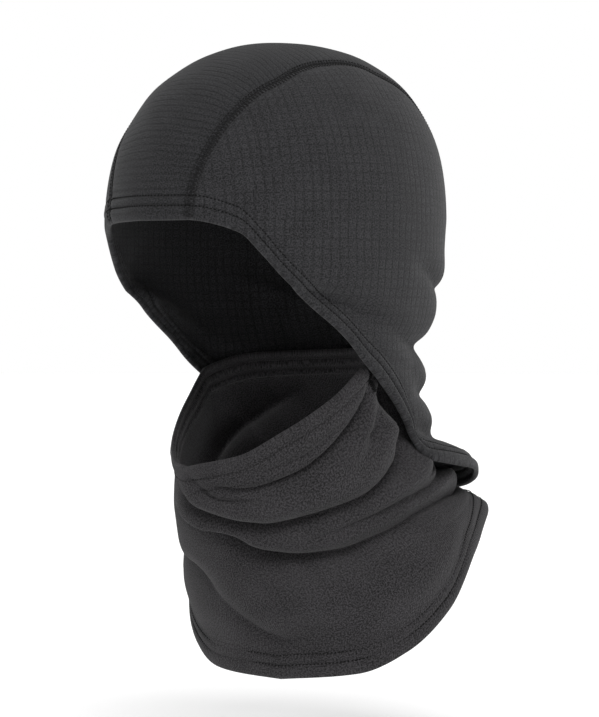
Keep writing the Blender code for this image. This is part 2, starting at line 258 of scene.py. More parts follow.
degrees_listed = np.arange(-180, 180 + ANGLE_STEP, ANGLE_STEP)
HOOD_GRID = np.zeros((len(degrees_listed), SHARE_STEPS + 1, 3))
HOOD_RUN = np.zeros(len(degrees_listed))
for i, degrees in enumerate(degrees_listed):
    points, run = meridian(math.radians(degrees))
    HOOD_RUN[i] = run[-1]
    wanted = np.linspace(0, run[-1], SHARE_STEPS + 1)
    HOOD_GRID[i] = np.stack([np.interp(wanted, run, points[:, k]) for k in range(3)], 1)
FOREHEAD, NAPE = (int((turn + 180) / ANGLE_STEP) for turn in (-90, 90))     # their lines in the grid
print("from crown to forehead", round(HOOD_RUN[FOREHEAD]), "mm, to the nape", round(HOOD_RUN[NAPE]), "mm")


# %% [markdown]
# The grid of points above is read between its points by `grid_read`, which also runs on in a straight line a
# little past the edge. A direction at right angles to the cloth comes from the difference of close
# neighbours.

# %% Reading the hood
def grid_read(grid, degrees, share, steps):
    across = (np.mod(degrees + 180, 360)) / ANGLE_STEP
    down = np.asarray(share, float) * steps
    i = np.clip(across.astype(int), 0, grid.shape[0] - 2)
    j = np.clip(down.astype(int), 0, steps - 1)
    s = (across - i)[..., None]
    t = (down - j)[..., None]
    top = grid[i, j] * (1 - s) + grid[i + 1, j] * s
    low = grid[i, j + 1] * (1 - s) + grid[i + 1, j + 1] * s
    return top * (1 - t) + low * t


def unit(v):
    return v / np.maximum(np.linalg.norm(v, axis=-1, keepdims=True), 1e-9)


def square_to(skin, first, second, small_first, small_second):
    """The direction square to a skin given by two numbers: out of it when the second runs to the left."""
    along = skin(first + small_first, second) - skin(first - small_first, second)
    down = skin(first, second + small_second) - skin(first, second - small_second)
    return unit(np.cross(along, down))


def hood_run(degrees):
    return np.interp(np.mod(degrees + 180, 360) - 180, degrees_listed, HOOD_RUN)


def bare_hood(sideways, backwards):
    degrees = np.degrees(np.arctan2(backwards, sideways))
    return grid_read(HOOD_GRID, degrees, np.hypot(sideways, backwards), SHARE_STEPS)


def seam_share(backwards):
    return eased(backwards, SEAM_LINE)


HEAD_MIDDLE = (0, 20, 0)

# %% [markdown]
# ## Creases
# Cloth that is too long for the neck folds over on itself. Each crease is a line drawn on the cloth by a few
# points. The cloth sinks along it and comes out again on a longer slope below. Above the line it swells into
# a roll, which sags a little over the crease. A simulation would make folds of its own; drawing them keeps
# them where this garment has them.

# %% Sinking cloth along a line
def smooth_path(points, steps=10):
    """A curve through a few points on the cloth, with what else is listed at each point."""
    p = np.array(points, float)
    p = np.vstack([2 * p[0] - p[1], p, 2 * p[-1] - p[-2]])
    out = []
    for k in range(1, len(p) - 2):
        for s in np.arange(steps) / steps:
            out.append(0.5 * (2 * p[k] + (p[k + 1] - p[k - 1]) * s
                              + (2 * p[k - 1] - 5 * p[k] + 4 * p[k + 1] - p[k + 2]) * s**2
                              + (3 * p[k] - p[k - 1] - 3 * p[k + 1] + p[k + 2]) * s**3))
    out.append(p[-2])
    return np.array(out)


SOFT = 1.1              # the bottom of a crease is about this round
SAG = 0.3               # the roll above a crease comes down over it by this share of the crease's depth
SWELL = 0.42            # and stands out by this share
ROLL_PLACE = 1.7        # its top lies this many widths above the crease
CROSSING = 0.35         # where two creases meet, the shallower one adds this share of its depth


def distance_to(u, v, path):
    """Signed distance to a path, positive below it; how far along its nearest place is; how level it is."""
    best = np.full(u.shape, 1e9)
    side = np.zeros(u.shape)
    place = np.zeros(u.shape)
    level = np.zeros(u.shape)
    for k in range(len(path) - 1):
        a = path[k, :2]
        b = path[k + 1, :2]
        ab = b - a
        t = np.clip(((u - a[0]) * ab[0] + (v - a[1]) * ab[1]) / max(ab @ ab, 1e-9), 0, 1)
        du = u - a[0] - t * ab[0]
        dv = v - a[1] - t * ab[1]
        d = np.hypot(du, dv)
        nearer = d < best
        best = np.where(nearer, d, best)
        side = np.where(nearer, np.sign(ab[0] * dv - ab[1] * du), side)
        place = np.where(nearer, (k + t) / (len(path) - 1), place)
        level = np.where(nearer, abs(ab[0]) / max(math.hypot(*ab), 1e-6), level)
    return best * np.where(side < 0, -1, 1), place, level


def creases_at(u, v, creases):
    """How deep the cloth sinks, how far the roll above a crease swells out and how far it sags down."""
    depth = np.zeros(u.shape)
    swell = np.zeros(u.shape)
    sag = np.zeros(u.shape)
    for points, deep, above, below in creases:
        path = smooth_path(points)
        d, place, level = distance_to(u, v, path)
        fade = np.interp(place, np.linspace(0, 1, len(path)), np.clip(path[:, 2], 0, None))
        width = np.where(d < 0, above, below)
        sink = deep * fade * np.exp(-(np.sqrt(d * d + SOFT * SOFT) - SOFT) / width)
        depth = np.maximum(depth, sink) + CROSSING * np.minimum(depth, sink)
        lean = np.where(d < 0, -d / above, 0)
        sag += SAG * deep * fade * level * lean * np.exp(1 - lean)
        roll = lean / ROLL_PLACE
        swell += SWELL * deep * fade * roll * roll * np.exp(2 - 2 * roll)
    return depth, swell, sag


# %% [markdown]
# The hood's own creases lie where it narrows behind the ears: four short folds across the nape, one long soft
# one from the jaw hem up behind the ear. Places are (degrees round the head, height), each with its strength.
# A millimetre across is about 0.75 degrees here.

# %% Creases of the hood
DEGREE_WIDTH = 1.35     # millimetres per degree round the back of the head
HOOD_CREASES = (
    # points (degrees, height, strength), depth, width above, width below
    (((14, 9, 0), (30, 4, 0.6), (45, -3, 1), (66, -6, 1), (90, -4, 1)), 4.2, 7, 5),
    (((-41, -6, 0), (-33, -9, 1), (-20, -15, 1), (-8, -22, 0.55), (0, -26, 0.3), (20, -35, 0.6), (45, -37, 1),
      (66, -39, 0.9), (90, -37, 0.8)), 5.6, 6, 8),
    (((24, -58, 0), (36, -62, 0.7), (46, -64, 1), (68, -62, 0.9), (90, -65, 0.8)), 4.6, 6, 5),
    (((22, -80, 0), (34, -84, 0.8), (45, -87, 1), (66, -88, 1), (90, -86, 1)), 3.6, 5, 4),
    (((-8, -38, 0), (6, -46, 0.5), (24, -50, 0.5), (40, -50, 0.2)), 2.4, 5, 5),
)
FOLD_LIFT = 2.2         # cloth between creases stands out this much at the nape
RIGHT_LOWER = 3.0       # the right side's creases lie lower by this much
RIGHT_SHALLOWER = 0.85


def hood_folds(degrees, height):
    """Creases lie alike on both sides, a little lower and shallower on the right."""
    right = degrees > 90
    mirrored = np.where(right, 180 - degrees, degrees)
    mirrored = np.where(mirrored < -90, -180 - mirrored, mirrored)
    lower = np.where(right, RIGHT_LOWER * ramp(degrees, 90, 130), 0)
    scaled = [([(a * DEGREE_WIDTH, -z, s) for a, z, s in points], deep, up, down)
              for points, deep, up, down in HOOD_CREASES]
    depth, swell, _ = creases_at(mirrored * DEGREE_WIDTH, -(height + lower), scaled)
    lift = FOLD_LIFT * ramp(mirrored, 22, 50) * ramp(-height, -20, 6) * (1 - ramp(-height, 96, 104))
    return lift - (depth - swell) * np.where(right, RIGHT_SHALLOWER, 1)


# %% [markdown]
# Every hem is the cloth turned up once and sewn with two rows of stitches, so it is twice as thick, puffs out
# between the rows and is drawn in along them. The relief is a function of the distance from the folded edge.

# %% Hems
HEM = 14.0
FIRST_ROW = 6.6
SECOND_ROW = 12.2
FLEECE = 1.7            # thickness of one layer of the hood's cloth
JERSEY = 1.5            # thickness of one layer of the gaiter's cloth
# distance from the edge, relief
HEM_RELIEF = ((0, 0.1), (1, 0.5), (3.2, 0.9), (5.4, 0.6), (6.6, -0.15), (7.8, 0.35), (9.4, 0.6), (11, 0.35),
              (12.2, -0.2), (13.3, 0.0), (14.5, -0.25), (17, 0), (30, 0))
# the distances at which the cloth has a row of points: close together where the relief changes
HEM_ROWS = (0, 0.7, 1.6, 2.8, 4.0, 5.0, 5.7, 6.2, 6.6, 7.0, 7.5, 8.3, 9.4, 10.5, 11.2, 11.8, 12.2, 12.6, 13.1,
            13.7, 14.3, 15.0, 16.0, 17.4)
SEAM_DIP = 1.0          # the flatlock seam draws the cloth in this much
SEAM_DIP_WIDTH = 3.4
UNEVEN = 0.45           # how far the hood's cloth wanders in and out, over about UNEVEN_SIZE
UNEVEN_SIZE = 46
HEM_RIPPLE = 0.16       # and the hem along its edge, over about HEM_RIPPLE_SIZE
HEM_RIPPLE_SIZE = 11


def waves(u, v, size, seed):
    """A smooth unevenness made of a few sine waves; u, v and size in millimetres, result about -1 to 1."""
    chance = np.random.default_rng(seed)
    total = 0
    for _ in range(7):
        turn = chance.uniform(0, 2 * math.pi)
        length = size * chance.uniform(0.7, 1.6)
        phase = chance.uniform(0, 2 * math.pi)
        total = total + np.sin(2 * math.pi * (u * math.cos(turn) + v * math.sin(turn)) / length + phase)
    return total / 4


def hood_skin(sideways, backwards):
    """The hood's outer face with its creases, hem relief and sunken seams, in millimetres."""
    degrees = np.degrees(np.arctan2(backwards, sideways))
    share = np.hypot(sideways, backwards)
    place = bare_hood(sideways, backwards)
    run = hood_run(degrees)
    from_edge = (1 - share) * run
    out = hood_out(sideways, backwards)
    seam = (np.abs(sideways) - seam_share(backwards)) * 0.9 * run
    near_hem = 1 - ramp(from_edge, 8, 20)
    move = hood_folds(degrees, place[..., 2])
    move = move + eased(np.clip(from_edge, 0, 30), HEM_RELIEF)
    move = move - SEAM_DIP * np.exp(-(seam / SEAM_DIP_WIDTH)**2)
    move = move + UNEVEN * waves(place[..., 0] + place[..., 1], place[..., 2], UNEVEN_SIZE, 3)
    move = move + HEM_RIPPLE * near_hem * waves(degrees * 1.4, from_edge, HEM_RIPPLE_SIZE, 4)
    return place + out * move[..., None]


def hood_out(sideways, backwards):
    share = np.hypot(sideways, backwards)
    back = np.minimum(1, 0.99 / np.maximum(share, 1e-6))
    return square_to(bare_hood, sideways * back, backwards * back, 0.006, 0.006)


def hood_normal(sideways, backwards):
    return square_to(hood_skin, sideways, backwards, 0.004, 0.004)


print("hem relief from", min(r[1] for r in HEM_RELIEF), "to", max(r[1] for r in HEM_RELIEF), "mm")


# %% [markdown]
# ## Thick cloth
# A sheet of cloth is a closed mesh: an outer face, an inner face a thickness below it, and a rounded rim
# where the two meet. Solidify would give a square rim; making the rim's rings by hand gives the round fold of
# a hem.

# %% Making thick cloth
RIM_TURNS = (30, 62, 90, 118, 150)      # degrees round the rim, from the outer to the inner face


def thick_cloth(name, outer, inner, faces, flat, reach, surface, turn_width=None):
    """outer and inner: points in mm; flat: the same points laid flat; reach: how far the rim bulges."""
    faces = [tuple(dict.fromkeys(face)) for face in faces]
    count = len(outer)
    directed = set()
    for face in faces:
        for a, b in zip(face, face[1:] + face[:1]):
            directed.add((a, b))
    rim = [(a, b) for a, b in directed if (b, a) not in directed]
    rim.sort()
    middle = (outer + inner) / 2
    inward = np.zeros((count, 3))
    seen = np.zeros(count)
    on_rim = sorted({a for a, _ in rim})
    member = np.zeros(count, bool)
    member[on_rim] = True
    for face in faces:
        if any(member[a] for a in face):
            centre = sum(middle[a] for a in face) / len(face)
            for a in face:
                if member[a]:
                    inward[a] += centre
                    seen[a] += 1
    points = [outer, inner]
    flats = [flat, flat]
    ring_of = {a: k for k, a in enumerate(on_rim)}
    chosen = np.array(on_rim)
    along = np.zeros((count, 3))
    for a, b in rim:
        along[a] += middle[b] - middle[a]
        along[b] += middle[b] - middle[a]
    out = middle[chosen] - inward[chosen] / np.maximum(seen[chosen], 1)[:, None]
    half = (outer - inner)[chosen] / 2
    for across in (unit(half), unit(along[chosen])):
        out = out - across * (out * across).sum(1, keepdims=True)
    out = unit(out)
    for turn in RIM_TURNS:
        t = math.radians(turn)
        points.append(middle[chosen] + half * math.cos(t) + out * (reach[chosen] * math.sin(t))[:, None])
        flats.append(flat[chosen])
    all_points = np.vstack(points)
    all_flats = np.vstack(flats)
    polygons = list(faces)
    polygons += [tuple(a + count for a in reversed(face)) for face in faces]
    for a, b in rim:
        line_a, line_b = ([end] + [2 * count + k * len(on_rim) + ring_of[end] for k in range(len(RIM_TURNS))]
                          + [end + count] for end in (a, b))
        for k in range(len(line_a) - 1):
            polygons.append((line_b[k], line_a[k], line_a[k + 1], line_b[k + 1]))
    mesh = bpy.data.meshes.new(name)
    mesh.from_pydata((all_points * MM).tolist(), [], polygons)
    layer = mesh.uv_layers.new(name="cloth")
    loops = np.zeros(len(mesh.loops), int)
    mesh.loops.foreach_get("vertex_index", loops)
    uv = all_flats[loops] * MM
    if turn_width:
        start = np.zeros(len(mesh.polygons), int)
        mesh.polygons.foreach_get("loop_start", start)
        owner = np.repeat(np.arange(len(start)), np.diff(np.append(start, len(loops))))
        most = np.full(len(start), -1e9)
        np.maximum.at(most, owner, uv[:, 0])
        uv[:, 0] += np.where(most[owner] - uv[:, 0] > turn_width * MM / 2, turn_width * MM, 0)
    layer.data.foreach_set("uv", uv.astype(np.float32).ravel())
    mesh.shade_smooth()
    mesh.materials.append(surface)
    piece = bpy.data.objects.new(name, mesh)
    bpy.context.scene.collection.objects.link(piece)
    mesh.calc_loop_triangles()
    area = sum(p.area for p in mesh.polygons) / 2
    print(name, len(mesh.loop_triangles), "triangles,", round(area, 4), "m2 of cloth")
    return piece


def outward_faces(faces, outer, about=HEAD_MIDDLE):
    """Turns all the faces round if most of them look inwards."""
    quads = np.array([f for f in faces if len(set(f)) == 4])
    a, b, c = (outer[quads[:, k]] for k in range(3))
    normal = np.cross(b - a, c - a)
    way = (a + c) / 2 - np.array(about)
    way[:, 2] *= 0.3
    if (normal * way).sum() < 0:
        return [tuple(reversed(f)) for f in faces]
    return faces


# %% [markdown]
# ## Finishes
# A material is built from small node groups. One draws the square channels of the grid fleece, one the fine
# wales of the knit, one the heathered mixture of lighter and darker fibres. The groups put out heights and
# masks only; the Principled shader stays in each material with its sheen set directly on it.

# %% Node helpers
class Nodes:
    """Short words for adding and joining nodes in one tree."""

    def __init__(self, tree):
        self.tree = tree

    def add(self, kind, **settings):
        node = self.tree.nodes.new(kind)
        for name, value in settings.items():
            setattr(node, name, value)
        return node

    def put(self, socket, value):
        if isinstance(value, bpy.types.NodeSocket):
            self.tree.links.new(value, socket)
        else:
            socket.default_value = value

    def math(self, operation, *values):
        node = self.add("ShaderNodeMath", operation=operation)
        for socket, value in zip(node.inputs, values):
            self.put(socket, value)
        return node.outputs[0]

    def map(self, value, low, high, to_low=0.0, to_high=1.0, smooth=True):
        node = self.add("ShaderNodeMapRange", interpolation_type="SMOOTHSTEP" if smooth else "LINEAR")
        sockets = ("Value", "From Min", "From Max", "To Min", "To Max")
        for name, v in zip(sockets, (value, low, high, to_low, to_high)):
            self.put(node.inputs[name], v)
        return node.outputs["Result"]

    def noise(self, place, scale, detail=2.0, roughness=0.5):
        node = self.add("ShaderNodeTexNoise")
        for name, v in (("Vector", place), ("Scale", scale), ("Detail", detail), ("Roughness", roughness)):
            self.put(node.inputs[name], v)
        return node.outputs["Fac"]


def node_group(name, kind, inputs, outputs):
    tree = bpy.data.node_groups.new(name, kind)
    for label, socket, value in inputs:
        made = tree.interface.new_socket(label, in_out="INPUT", socket_type=socket)
        if value is not None:
            made.default_value = value
    for label, socket in outputs:
        tree.interface.new_socket(label, in_out="OUTPUT", socket_type=socket)
    return tree, Nodes(tree)


# %% Group: square channels of the grid fleece
def make_grid_group():
    tree, n = node_group(
        "grid_channels", "ShaderNodeTree",
        [("Vector", "NodeSocketVector", None), ("Pitch Across", "NodeSocketFloat", 0.0054),
         ("Pitch Along", "NodeSocketFloat", 0.0052), ("Channel", "NodeSocketFloat", 0.25),
         ("Lengthwise", "NodeSocketFloat", 1.0), ("Crosswise", "NodeSocketFloat", 1.0)],
        [("Height", "NodeSocketFloat"), ("Channels", "NodeSocketFloat")])
    read = n.add("NodeGroupInput").outputs
    put = n.add("NodeGroupOutput").inputs
    wobble = n.noise(read["Vector"], 60.0, 1.0)
    apart = n.add("ShaderNodeSeparateXYZ")
    n.put(apart.inputs[0], read["Vector"])
    channels = []
    for axis, pitch, strength in (("X", "Pitch Across", "Lengthwise"), ("Y", "Pitch Along", "Crosswise")):
        cells = n.math("DIVIDE", apart.outputs[axis], read[pitch])
        cells = n.math("ADD", cells, n.math("MULTIPLY", wobble, 0.5))
        part = n.math("ABSOLUTE", n.math("SUBTRACT", n.math("FRACT", cells), 0.5))
        start = n.math("SUBTRACT", 0.5, read["Channel"])
        channel = n.map(part, start, 0.5)
        channels.append(n.math("MULTIPLY", channel, read[strength]))
    # the channel mask fades in and out in patches of noise; it sets the groove depth and the painted shade
    channel_fade = n.map(n.noise(read["Vector"], 55.0, 2.0), 0.35, 0.6, 0.5, 1.0)
    deep = n.math("MULTIPLY", n.math("MAXIMUM", channels[0], channels[1]), channel_fade)
    # painted shade: this channel mask darkens the colour in the grooves, where shade falls
    n.put(put["Channels"], deep)
    n.put(put["Height"], n.math("SUBTRACT", 1.0, deep))
    return tree


# %% Group: heathered fibres
def make_heather_group():
    tree, n = node_group(
        "heathered_fibres", "ShaderNodeTree",
        [("Vector", "NodeSocketVector", None), ("Speck", "NodeSocketFloat", 0.0009),
         ("Patch", "NodeSocketFloat", 0.02)],
        [("Specks", "NodeSocketFloat"), ("Patches", "NodeSocketFloat"), ("Fuzz", "NodeSocketFloat")])
    read = n.add("NodeGroupInput").outputs
    put = n.add("NodeGroupOutput").inputs
    specks = n.noise(read["Vector"], n.math("DIVIDE", 1.0, read["Speck"]), 3.0, 0.7)
    patches = n.noise(read["Vector"], n.math("DIVIDE", 1.0, read["Patch"]), 2.0)
    n.put(put["Specks"], n.map(specks, 0.39, 0.61))
    n.put(put["Patches"], n.map(patches, 0.3, 0.7))
    n.put(put["Fuzz"], n.noise(read["Vector"], 2600.0, 2.0, 0.8))
    return tree


# %% Group: wales of the smooth knit
def make_wale_group():
    tree, n = node_group(
        "knit_wales", "ShaderNodeTree",
        [("Vector", "NodeSocketVector", None), ("Wale", "NodeSocketFloat", 0.0011),
         ("Course", "NodeSocketFloat", 0.0009)],
        [("Height", "NodeSocketFloat")])
    read = n.add("NodeGroupInput").outputs
    put = n.add("NodeGroupOutput").inputs
    apart = n.add("ShaderNodeSeparateXYZ")
    n.put(apart.inputs[0], read["Vector"])
    wander = n.math("MULTIPLY", n.noise(read["Vector"], 150.0, 1.0), 2.2)
    wale = n.math("ADD", n.math("DIVIDE", apart.outputs["X"], read["Wale"]), wander)
    course = n.math("ADD", n.math("DIVIDE", apart.outputs["Y"], read["Course"]), wander)
    rib = n.math("ABSOLUTE", n.math("SINE", n.math("MULTIPLY", wale, math.pi)))
    loop = n.math("ABSOLUTE", n.math("SINE", n.math("MULTIPLY", course, math.pi)))
    n.put(put["Height"], n.math("ADD", rib, n.math("MULTIPLY", loop, 0.45)))
    return tree


GRID_GROUP = make_grid_group()
HEATHER_GROUP = make_heather_group()
WALE_GROUP = make_wale_group()
print("node groups:", GRID_GROUP.name, HEATHER_GROUP.name, WALE_GROUP.name)

# %% [markdown]
# Black polyester fleece is never black: loose fibres on its face catch light, so it has a broad sheen and
# a grey colour with lighter specks. Grid fleece gets painted shade down in its channels: its colour is
# darkened there to stand in for the shade that falls in the grooves.

# %% Fleece materials
def new_material(name, roughness, sheen, sheen_roughness=0.5, specular=0.25):
    made = bpy.data.materials.new(name)
    made.use_nodes = True
    shader = made.node_tree.nodes["Principled BSDF"]
    shader.inputs["Roughness"].default_value = roughness
    shader.inputs["Metallic"].default_value = 0.0
    shader.inputs["Specular IOR Level"].default_value = specular
    shader.inputs["Sheen Weight"].default_value = sheen
    shader.inputs["Sheen Roughness"].default_value = sheen_roughness
    return made, Nodes(made.node_tree), shader


def use_group(n, tree, values):
    node = n.add("ShaderNodeGroup", node_tree=tree)
    for name, value in values.items():
        n.put(node.inputs[name], value)
    return node.outputs


def shade_between(n, dark, light, mask):
    mix = n.add("ShaderNodeMix", data_type="RGBA")
    n.put(mix.inputs["Factor"], mask)
    mix.inputs["A"].default_value = dark
    mix.inputs["B"].default_value = light
    return mix.outputs["Result"]


def darker(n, colour, mask, amount):
    """A colour multiplied down by a share of a mask."""
    node = n.add("ShaderNodeMix", data_type="RGBA", blend_type="MULTIPLY")
    n.put(node.inputs["Factor"], n.math("MULTIPLY", mask, amount))
    n.put(node.inputs["A"], colour)
    node.inputs["B"].default_value = (0, 0, 0, 1)
    return node.outputs["Result"]


def bump(n, height, distance, strength, normal=None):
    node = n.add("ShaderNodeBump")
    node.inputs["Distance"].default_value = distance
    node.inputs["Strength"].default_value = strength
    n.put(node.inputs["Height"], height)
    if normal is not None:
        n.put(node.inputs["Normal"], normal)
    return node.outputs["Normal"]


def heather_mask(n, fibres):
    """Mostly specks, with broad patches under them."""
    return n.math("ADD", n.math("MULTIPLY", fibres["Specks"], 0.85),
                  n.math("MULTIPLY", fibres["Patches"], 0.15))


def grid_fleece(name, dark, light, lengthwise, crosswise, along):
    made, n, shader = new_material(name, 0.92, 0.1)
    place = n.add("ShaderNodeUVMap", uv_map="cloth").outputs[0]
    grid = use_group(n, GRID_GROUP, {"Vector": place, "Lengthwise": lengthwise, "Crosswise": crosswise,
                                     "Pitch Along": along})
    fibres = use_group(n, HEATHER_GROUP, {"Vector": place})
    # painted shade: the colour is multiplied down by 40% of the channel mask, standing in for shade in the
    # grooves
    colour = darker(n, shade_between(n, dark, light, heather_mask(n, fibres)), grid["Channels"], 0.4)
    n.put(shader.inputs["Base Color"], colour)
    coarse = bump(n, grid["Height"], 0.0003, 0.5)
    n.put(shader.inputs["Normal"], bump(n, fibres["Fuzz"], 0.0003, 0.5, coarse))
    return made


def smooth_fleece(name, dark, light):
    made, n, shader = new_material(name, 0.88, 0.1)
    place = n.add("ShaderNodeUVMap", uv_map="cloth").outputs[0]
    fibres = use_group(n, HEATHER_GROUP, {"Vector": place, "Speck": 0.0009})
    wales = use_group(n, WALE_GROUP, {"Vector": place})
    n.put(shader.inputs["Base Color"], shade_between(n, dark, light, heather_mask(n, fibres)))
    knit = bump(n, wales["Height"], 0.00025, 0.8)
    n.put(shader.inputs["Normal"], bump(n, fibres["Fuzz"], 0.00025, 0.5, knit))
    return made


SIDE_FLEECE = grid_fleece("side_grid_fleece", (0.005, 0.005, 0.0056, 1), (0.045, 0.0445, 0.048, 1),
                          lengthwise=1.0, crosswise=0.7, along=0.0052)
CROWN_FLEECE = grid_fleece("crown_grid_fleece", (0.004, 0.004, 0.0045, 1), (0.036, 0.036, 0.039, 1),
                           lengthwise=0.12, crosswise=1.0, along=0.0042)
SMOOTH_FLEECE = smooth_fleece("smooth_fleece_face", (0.003, 0.0028, 0.0031, 1), (0.051, 0.048, 0.052, 1))


def thread_material(name, dark, light):
    """Matt spun thread."""
    made, n, shader = new_material(name, 0.7, 0.02, 0.4, 0.15)
    place = n.add("ShaderNodeTexCoord").outputs["Object"]
    twist = n.noise(place, 1800.0, 1.0)
    n.put(shader.inputs["Base Color"], shade_between(n, dark, light, twist))
    n.put(shader.inputs["Normal"], bump(n, twist, 0.0002, 0.6))
    return made


def label_material():
    """Satin tape: fine weft ribs across, and no print."""
    made, n, shader = new_material("satin_label", 0.42, 0.2, 0.3, 0.5)
    place = n.add("ShaderNodeTexCoord").outputs["Object"]
    apart = n.add("ShaderNodeSeparateXYZ")
    n.put(apart.inputs[0], place)
    rib = n.math("ABSOLUTE", n.math("SINE", n.math("MULTIPLY", apart.outputs["Z"], math.pi / 0.0005)))
    uneven = n.noise(place, 350.0, 2.0)
    n.put(shader.inputs["Base Color"], shade_between(n, (0.27, 0.27, 0.28, 1), (0.42, 0.42, 0.43, 1), uneven))
    n.put(shader.inputs["Normal"], bump(n, rib, 0.0001, 0.5))
    return made


HEM_THREAD = thread_material("hem_thread", (0.001, 0.001, 0.001, 1), (0.006, 0.006, 0.006, 1))
SEAM_THREAD = thread_material("flatlock_thread", (0.004, 0.004, 0.004, 1), (0.017, 0.0165, 0.017, 1))
TONAL_THREAD = thread_material("tonal_thread", (0.009, 0.0085, 0.009, 1), (0.029, 0.028, 0.029, 1))
LABEL = label_material()
print("materials:", [m.name for m in (SIDE_FLEECE, CROWN_FLEECE, SMOOTH_FLEECE, HEM_THREAD, SEAM_THREAD,
                                        TONAL_THREAD, LABEL)])


# %% [markdown]
# ## Hood panels
# Three panels: a strip over the crown from forehead to nape, and a side panel on each side. They are cut to
# meet along the flatlock seams. On the disc, a row of the crown panel is a line from seam to seam; near the
# forehead and the nape the rows bend until they run along the hem.

# %% Lines along the hood's edge
ALONG = 176             # stretches between front and back hem, the same for crown and sides
CROWN_ACROSS = 44
SIDE_DOWN = 56
BARE = HEM_ROWS[-1]     # beyond this distance from the edge a panel is a single layer


def rim_backwards(sideways, distance, side):
    """On the disc, where a line this far from the edge passes a place sideways; side -1 front, 1 back."""
    backwards = side * 0.92 * np.ones_like(sideways)
    for _ in range(14):
        run = hood_run(np.degrees(np.arctan2(backwards, sideways)))
        share = 1 - distance / run
        backwards = side * np.sqrt(np.maximum(share**2 - sideways**2, 1e-6))
    return backwards


def seam_end(distance, side):
    """Where the seam crosses the line at this distance from the edge: (sideways, backwards)."""
    backwards = side * 0.9
    for _ in range(40):
        sideways = float(seam_share(backwards))
        backwards = float(rim_backwards(np.array([sideways]), distance, side)[0])
    return sideways, backwards


front_ends = [seam_end(d, -1) for d in HEM_ROWS]
back_ends = [seam_end(d, 1) for d in HEM_ROWS]


def seam_places():
    """Places of the crown's rows on the seam, from the front hem line to the back one."""
    first = front_ends[-1][1]
    last = back_ends[-1][1]
    return np.linspace(first, last, ALONG + 1)


SECOND_LAYER = 0.85     # the layer turned up in a hem is pressed, so it adds less than its thickness
RIM_REACH = 0.55        # a hem's folded edge bulges by this share of its thickness
RAW_REACH = 0.15        # a cut edge under a flatlock seam bulges this much


def layers(distance, cloth):
    """Thickness at a distance from the edge: two layers in the hem, one beyond it."""
    return cloth * (1 + SECOND_LAYER * (1 - ramp(distance, HEM - 0.3, HEM + 0.5)))


def hood_cloth(name, sideways, backwards, distance, faces, flat, surface):
    outer = hood_skin(sideways, backwards)
    out = hood_normal(sideways, backwards)
    thick = layers(distance, FLEECE)
    inner = outer - out * thick[:, None]
    reach = np.where(distance < HEM, thick * RIM_REACH, RAW_REACH)
    faces = outward_faces(faces, outer)
    return thick_cloth(name, outer, inner, faces, flat, reach, surface)


# %% [markdown]
# The grid of the cloth has to be laid on each panel as it was cut. For the crown that is simple: across is
# the way round from the middle line, along is the distance from the forehead. A side panel is a shallow dish,
# so it is unrolled from a point above the ear, keeping each place's direction and its true distance over the
# dish.

# %% Crown panel
HEAD_RADIUS = 96.0      # of the round that the crown panel bends over, from side to side


def make_crown():
    across = np.linspace(-1, 1, CROWN_ACROSS + 1)
    rows = []
    for k in range(len(HEM_ROWS)):
        sideways = across * front_ends[k][0]
        rows.append((sideways, rim_backwards(sideways, HEM_ROWS[k], -1)))
    first = rim_backwards(across * front_ends[-1][0], BARE, -1)
    last = rim_backwards(across * back_ends[-1][0], BARE, 1)
    places = seam_places()
    for place in places[1:-1]:
        t = (place - places[0]) / (places[-1] - places[0])
        bend_front = (first - first[0]) * (1 - t)**3
        bend_back = (last - last[0]) * t**3
        backwards = place + bend_front + bend_back
        rows.append((across * seam_share(np.full(across.shape, place)), backwards))
    for k in reversed(range(len(HEM_ROWS))):
        sideways = across * back_ends[k][0]
        rows.append((sideways, rim_backwards(sideways, HEM_ROWS[k], 1)))
    sideways = np.array([r[0] for r in rows])
    backwards = np.array([r[1] for r in rows])
    count, columns = sideways.shape
    share = np.hypot(sideways, backwards)
    distance = (1 - share) * hood_run(np.degrees(np.arctan2(backwards, sideways)))
    number = np.arange(count * columns).reshape(count, columns)
    faces = [(number[r, c], number[r, c + 1], number[r + 1, c + 1], number[r + 1, c])
             for r in range(count - 1) for c in range(columns - 1)]
    place = bare_hood(sideways, backwards)
    across_mm = HEAD_RADIUS * np.arcsin(np.clip(place[..., 0] / HEAD_RADIUS, -1, 1))
    middle = bare_hood(np.zeros(count), backwards[:, columns // 2])
    run = np.concatenate([[0], np.cumsum(np.linalg.norm(np.diff(middle, axis=0), axis=1))])
    along_mm = np.repeat(run[:, None], columns, 1)
    flat = np.stack([across_mm.ravel(), along_mm.ravel()], 1)
    return hood_cloth("crown_cloth", sideways.ravel(), backwards.ravel(), distance.ravel(), faces, flat,
                      CROWN_FLEECE)


crown = make_crown()


# %% Side panels
DISH_HEIGHT = 12.0      # height of the point, level with the middle of the side, that it is unrolled from
DISH_RADIUS = 105.0


def unroll(place, side):
    """Cloth coordinates of a side panel: backwards and down, in mm, from a point above the ear."""
    x, y = ring_point(0.0, np.array(DISH_HEIGHT))
    away = place - np.array([side * float(x), float(y), DISH_HEIGHT])
    chord = np.linalg.norm(away, axis=1)
    over = 2 * DISH_RADIUS * np.arcsin(np.clip(chord / (2 * DISH_RADIUS), 0, 1))
    flat = away[:, 1:]
    return flat / np.maximum(np.linalg.norm(flat, axis=1, keepdims=True), 1e-6) * over[:, None]


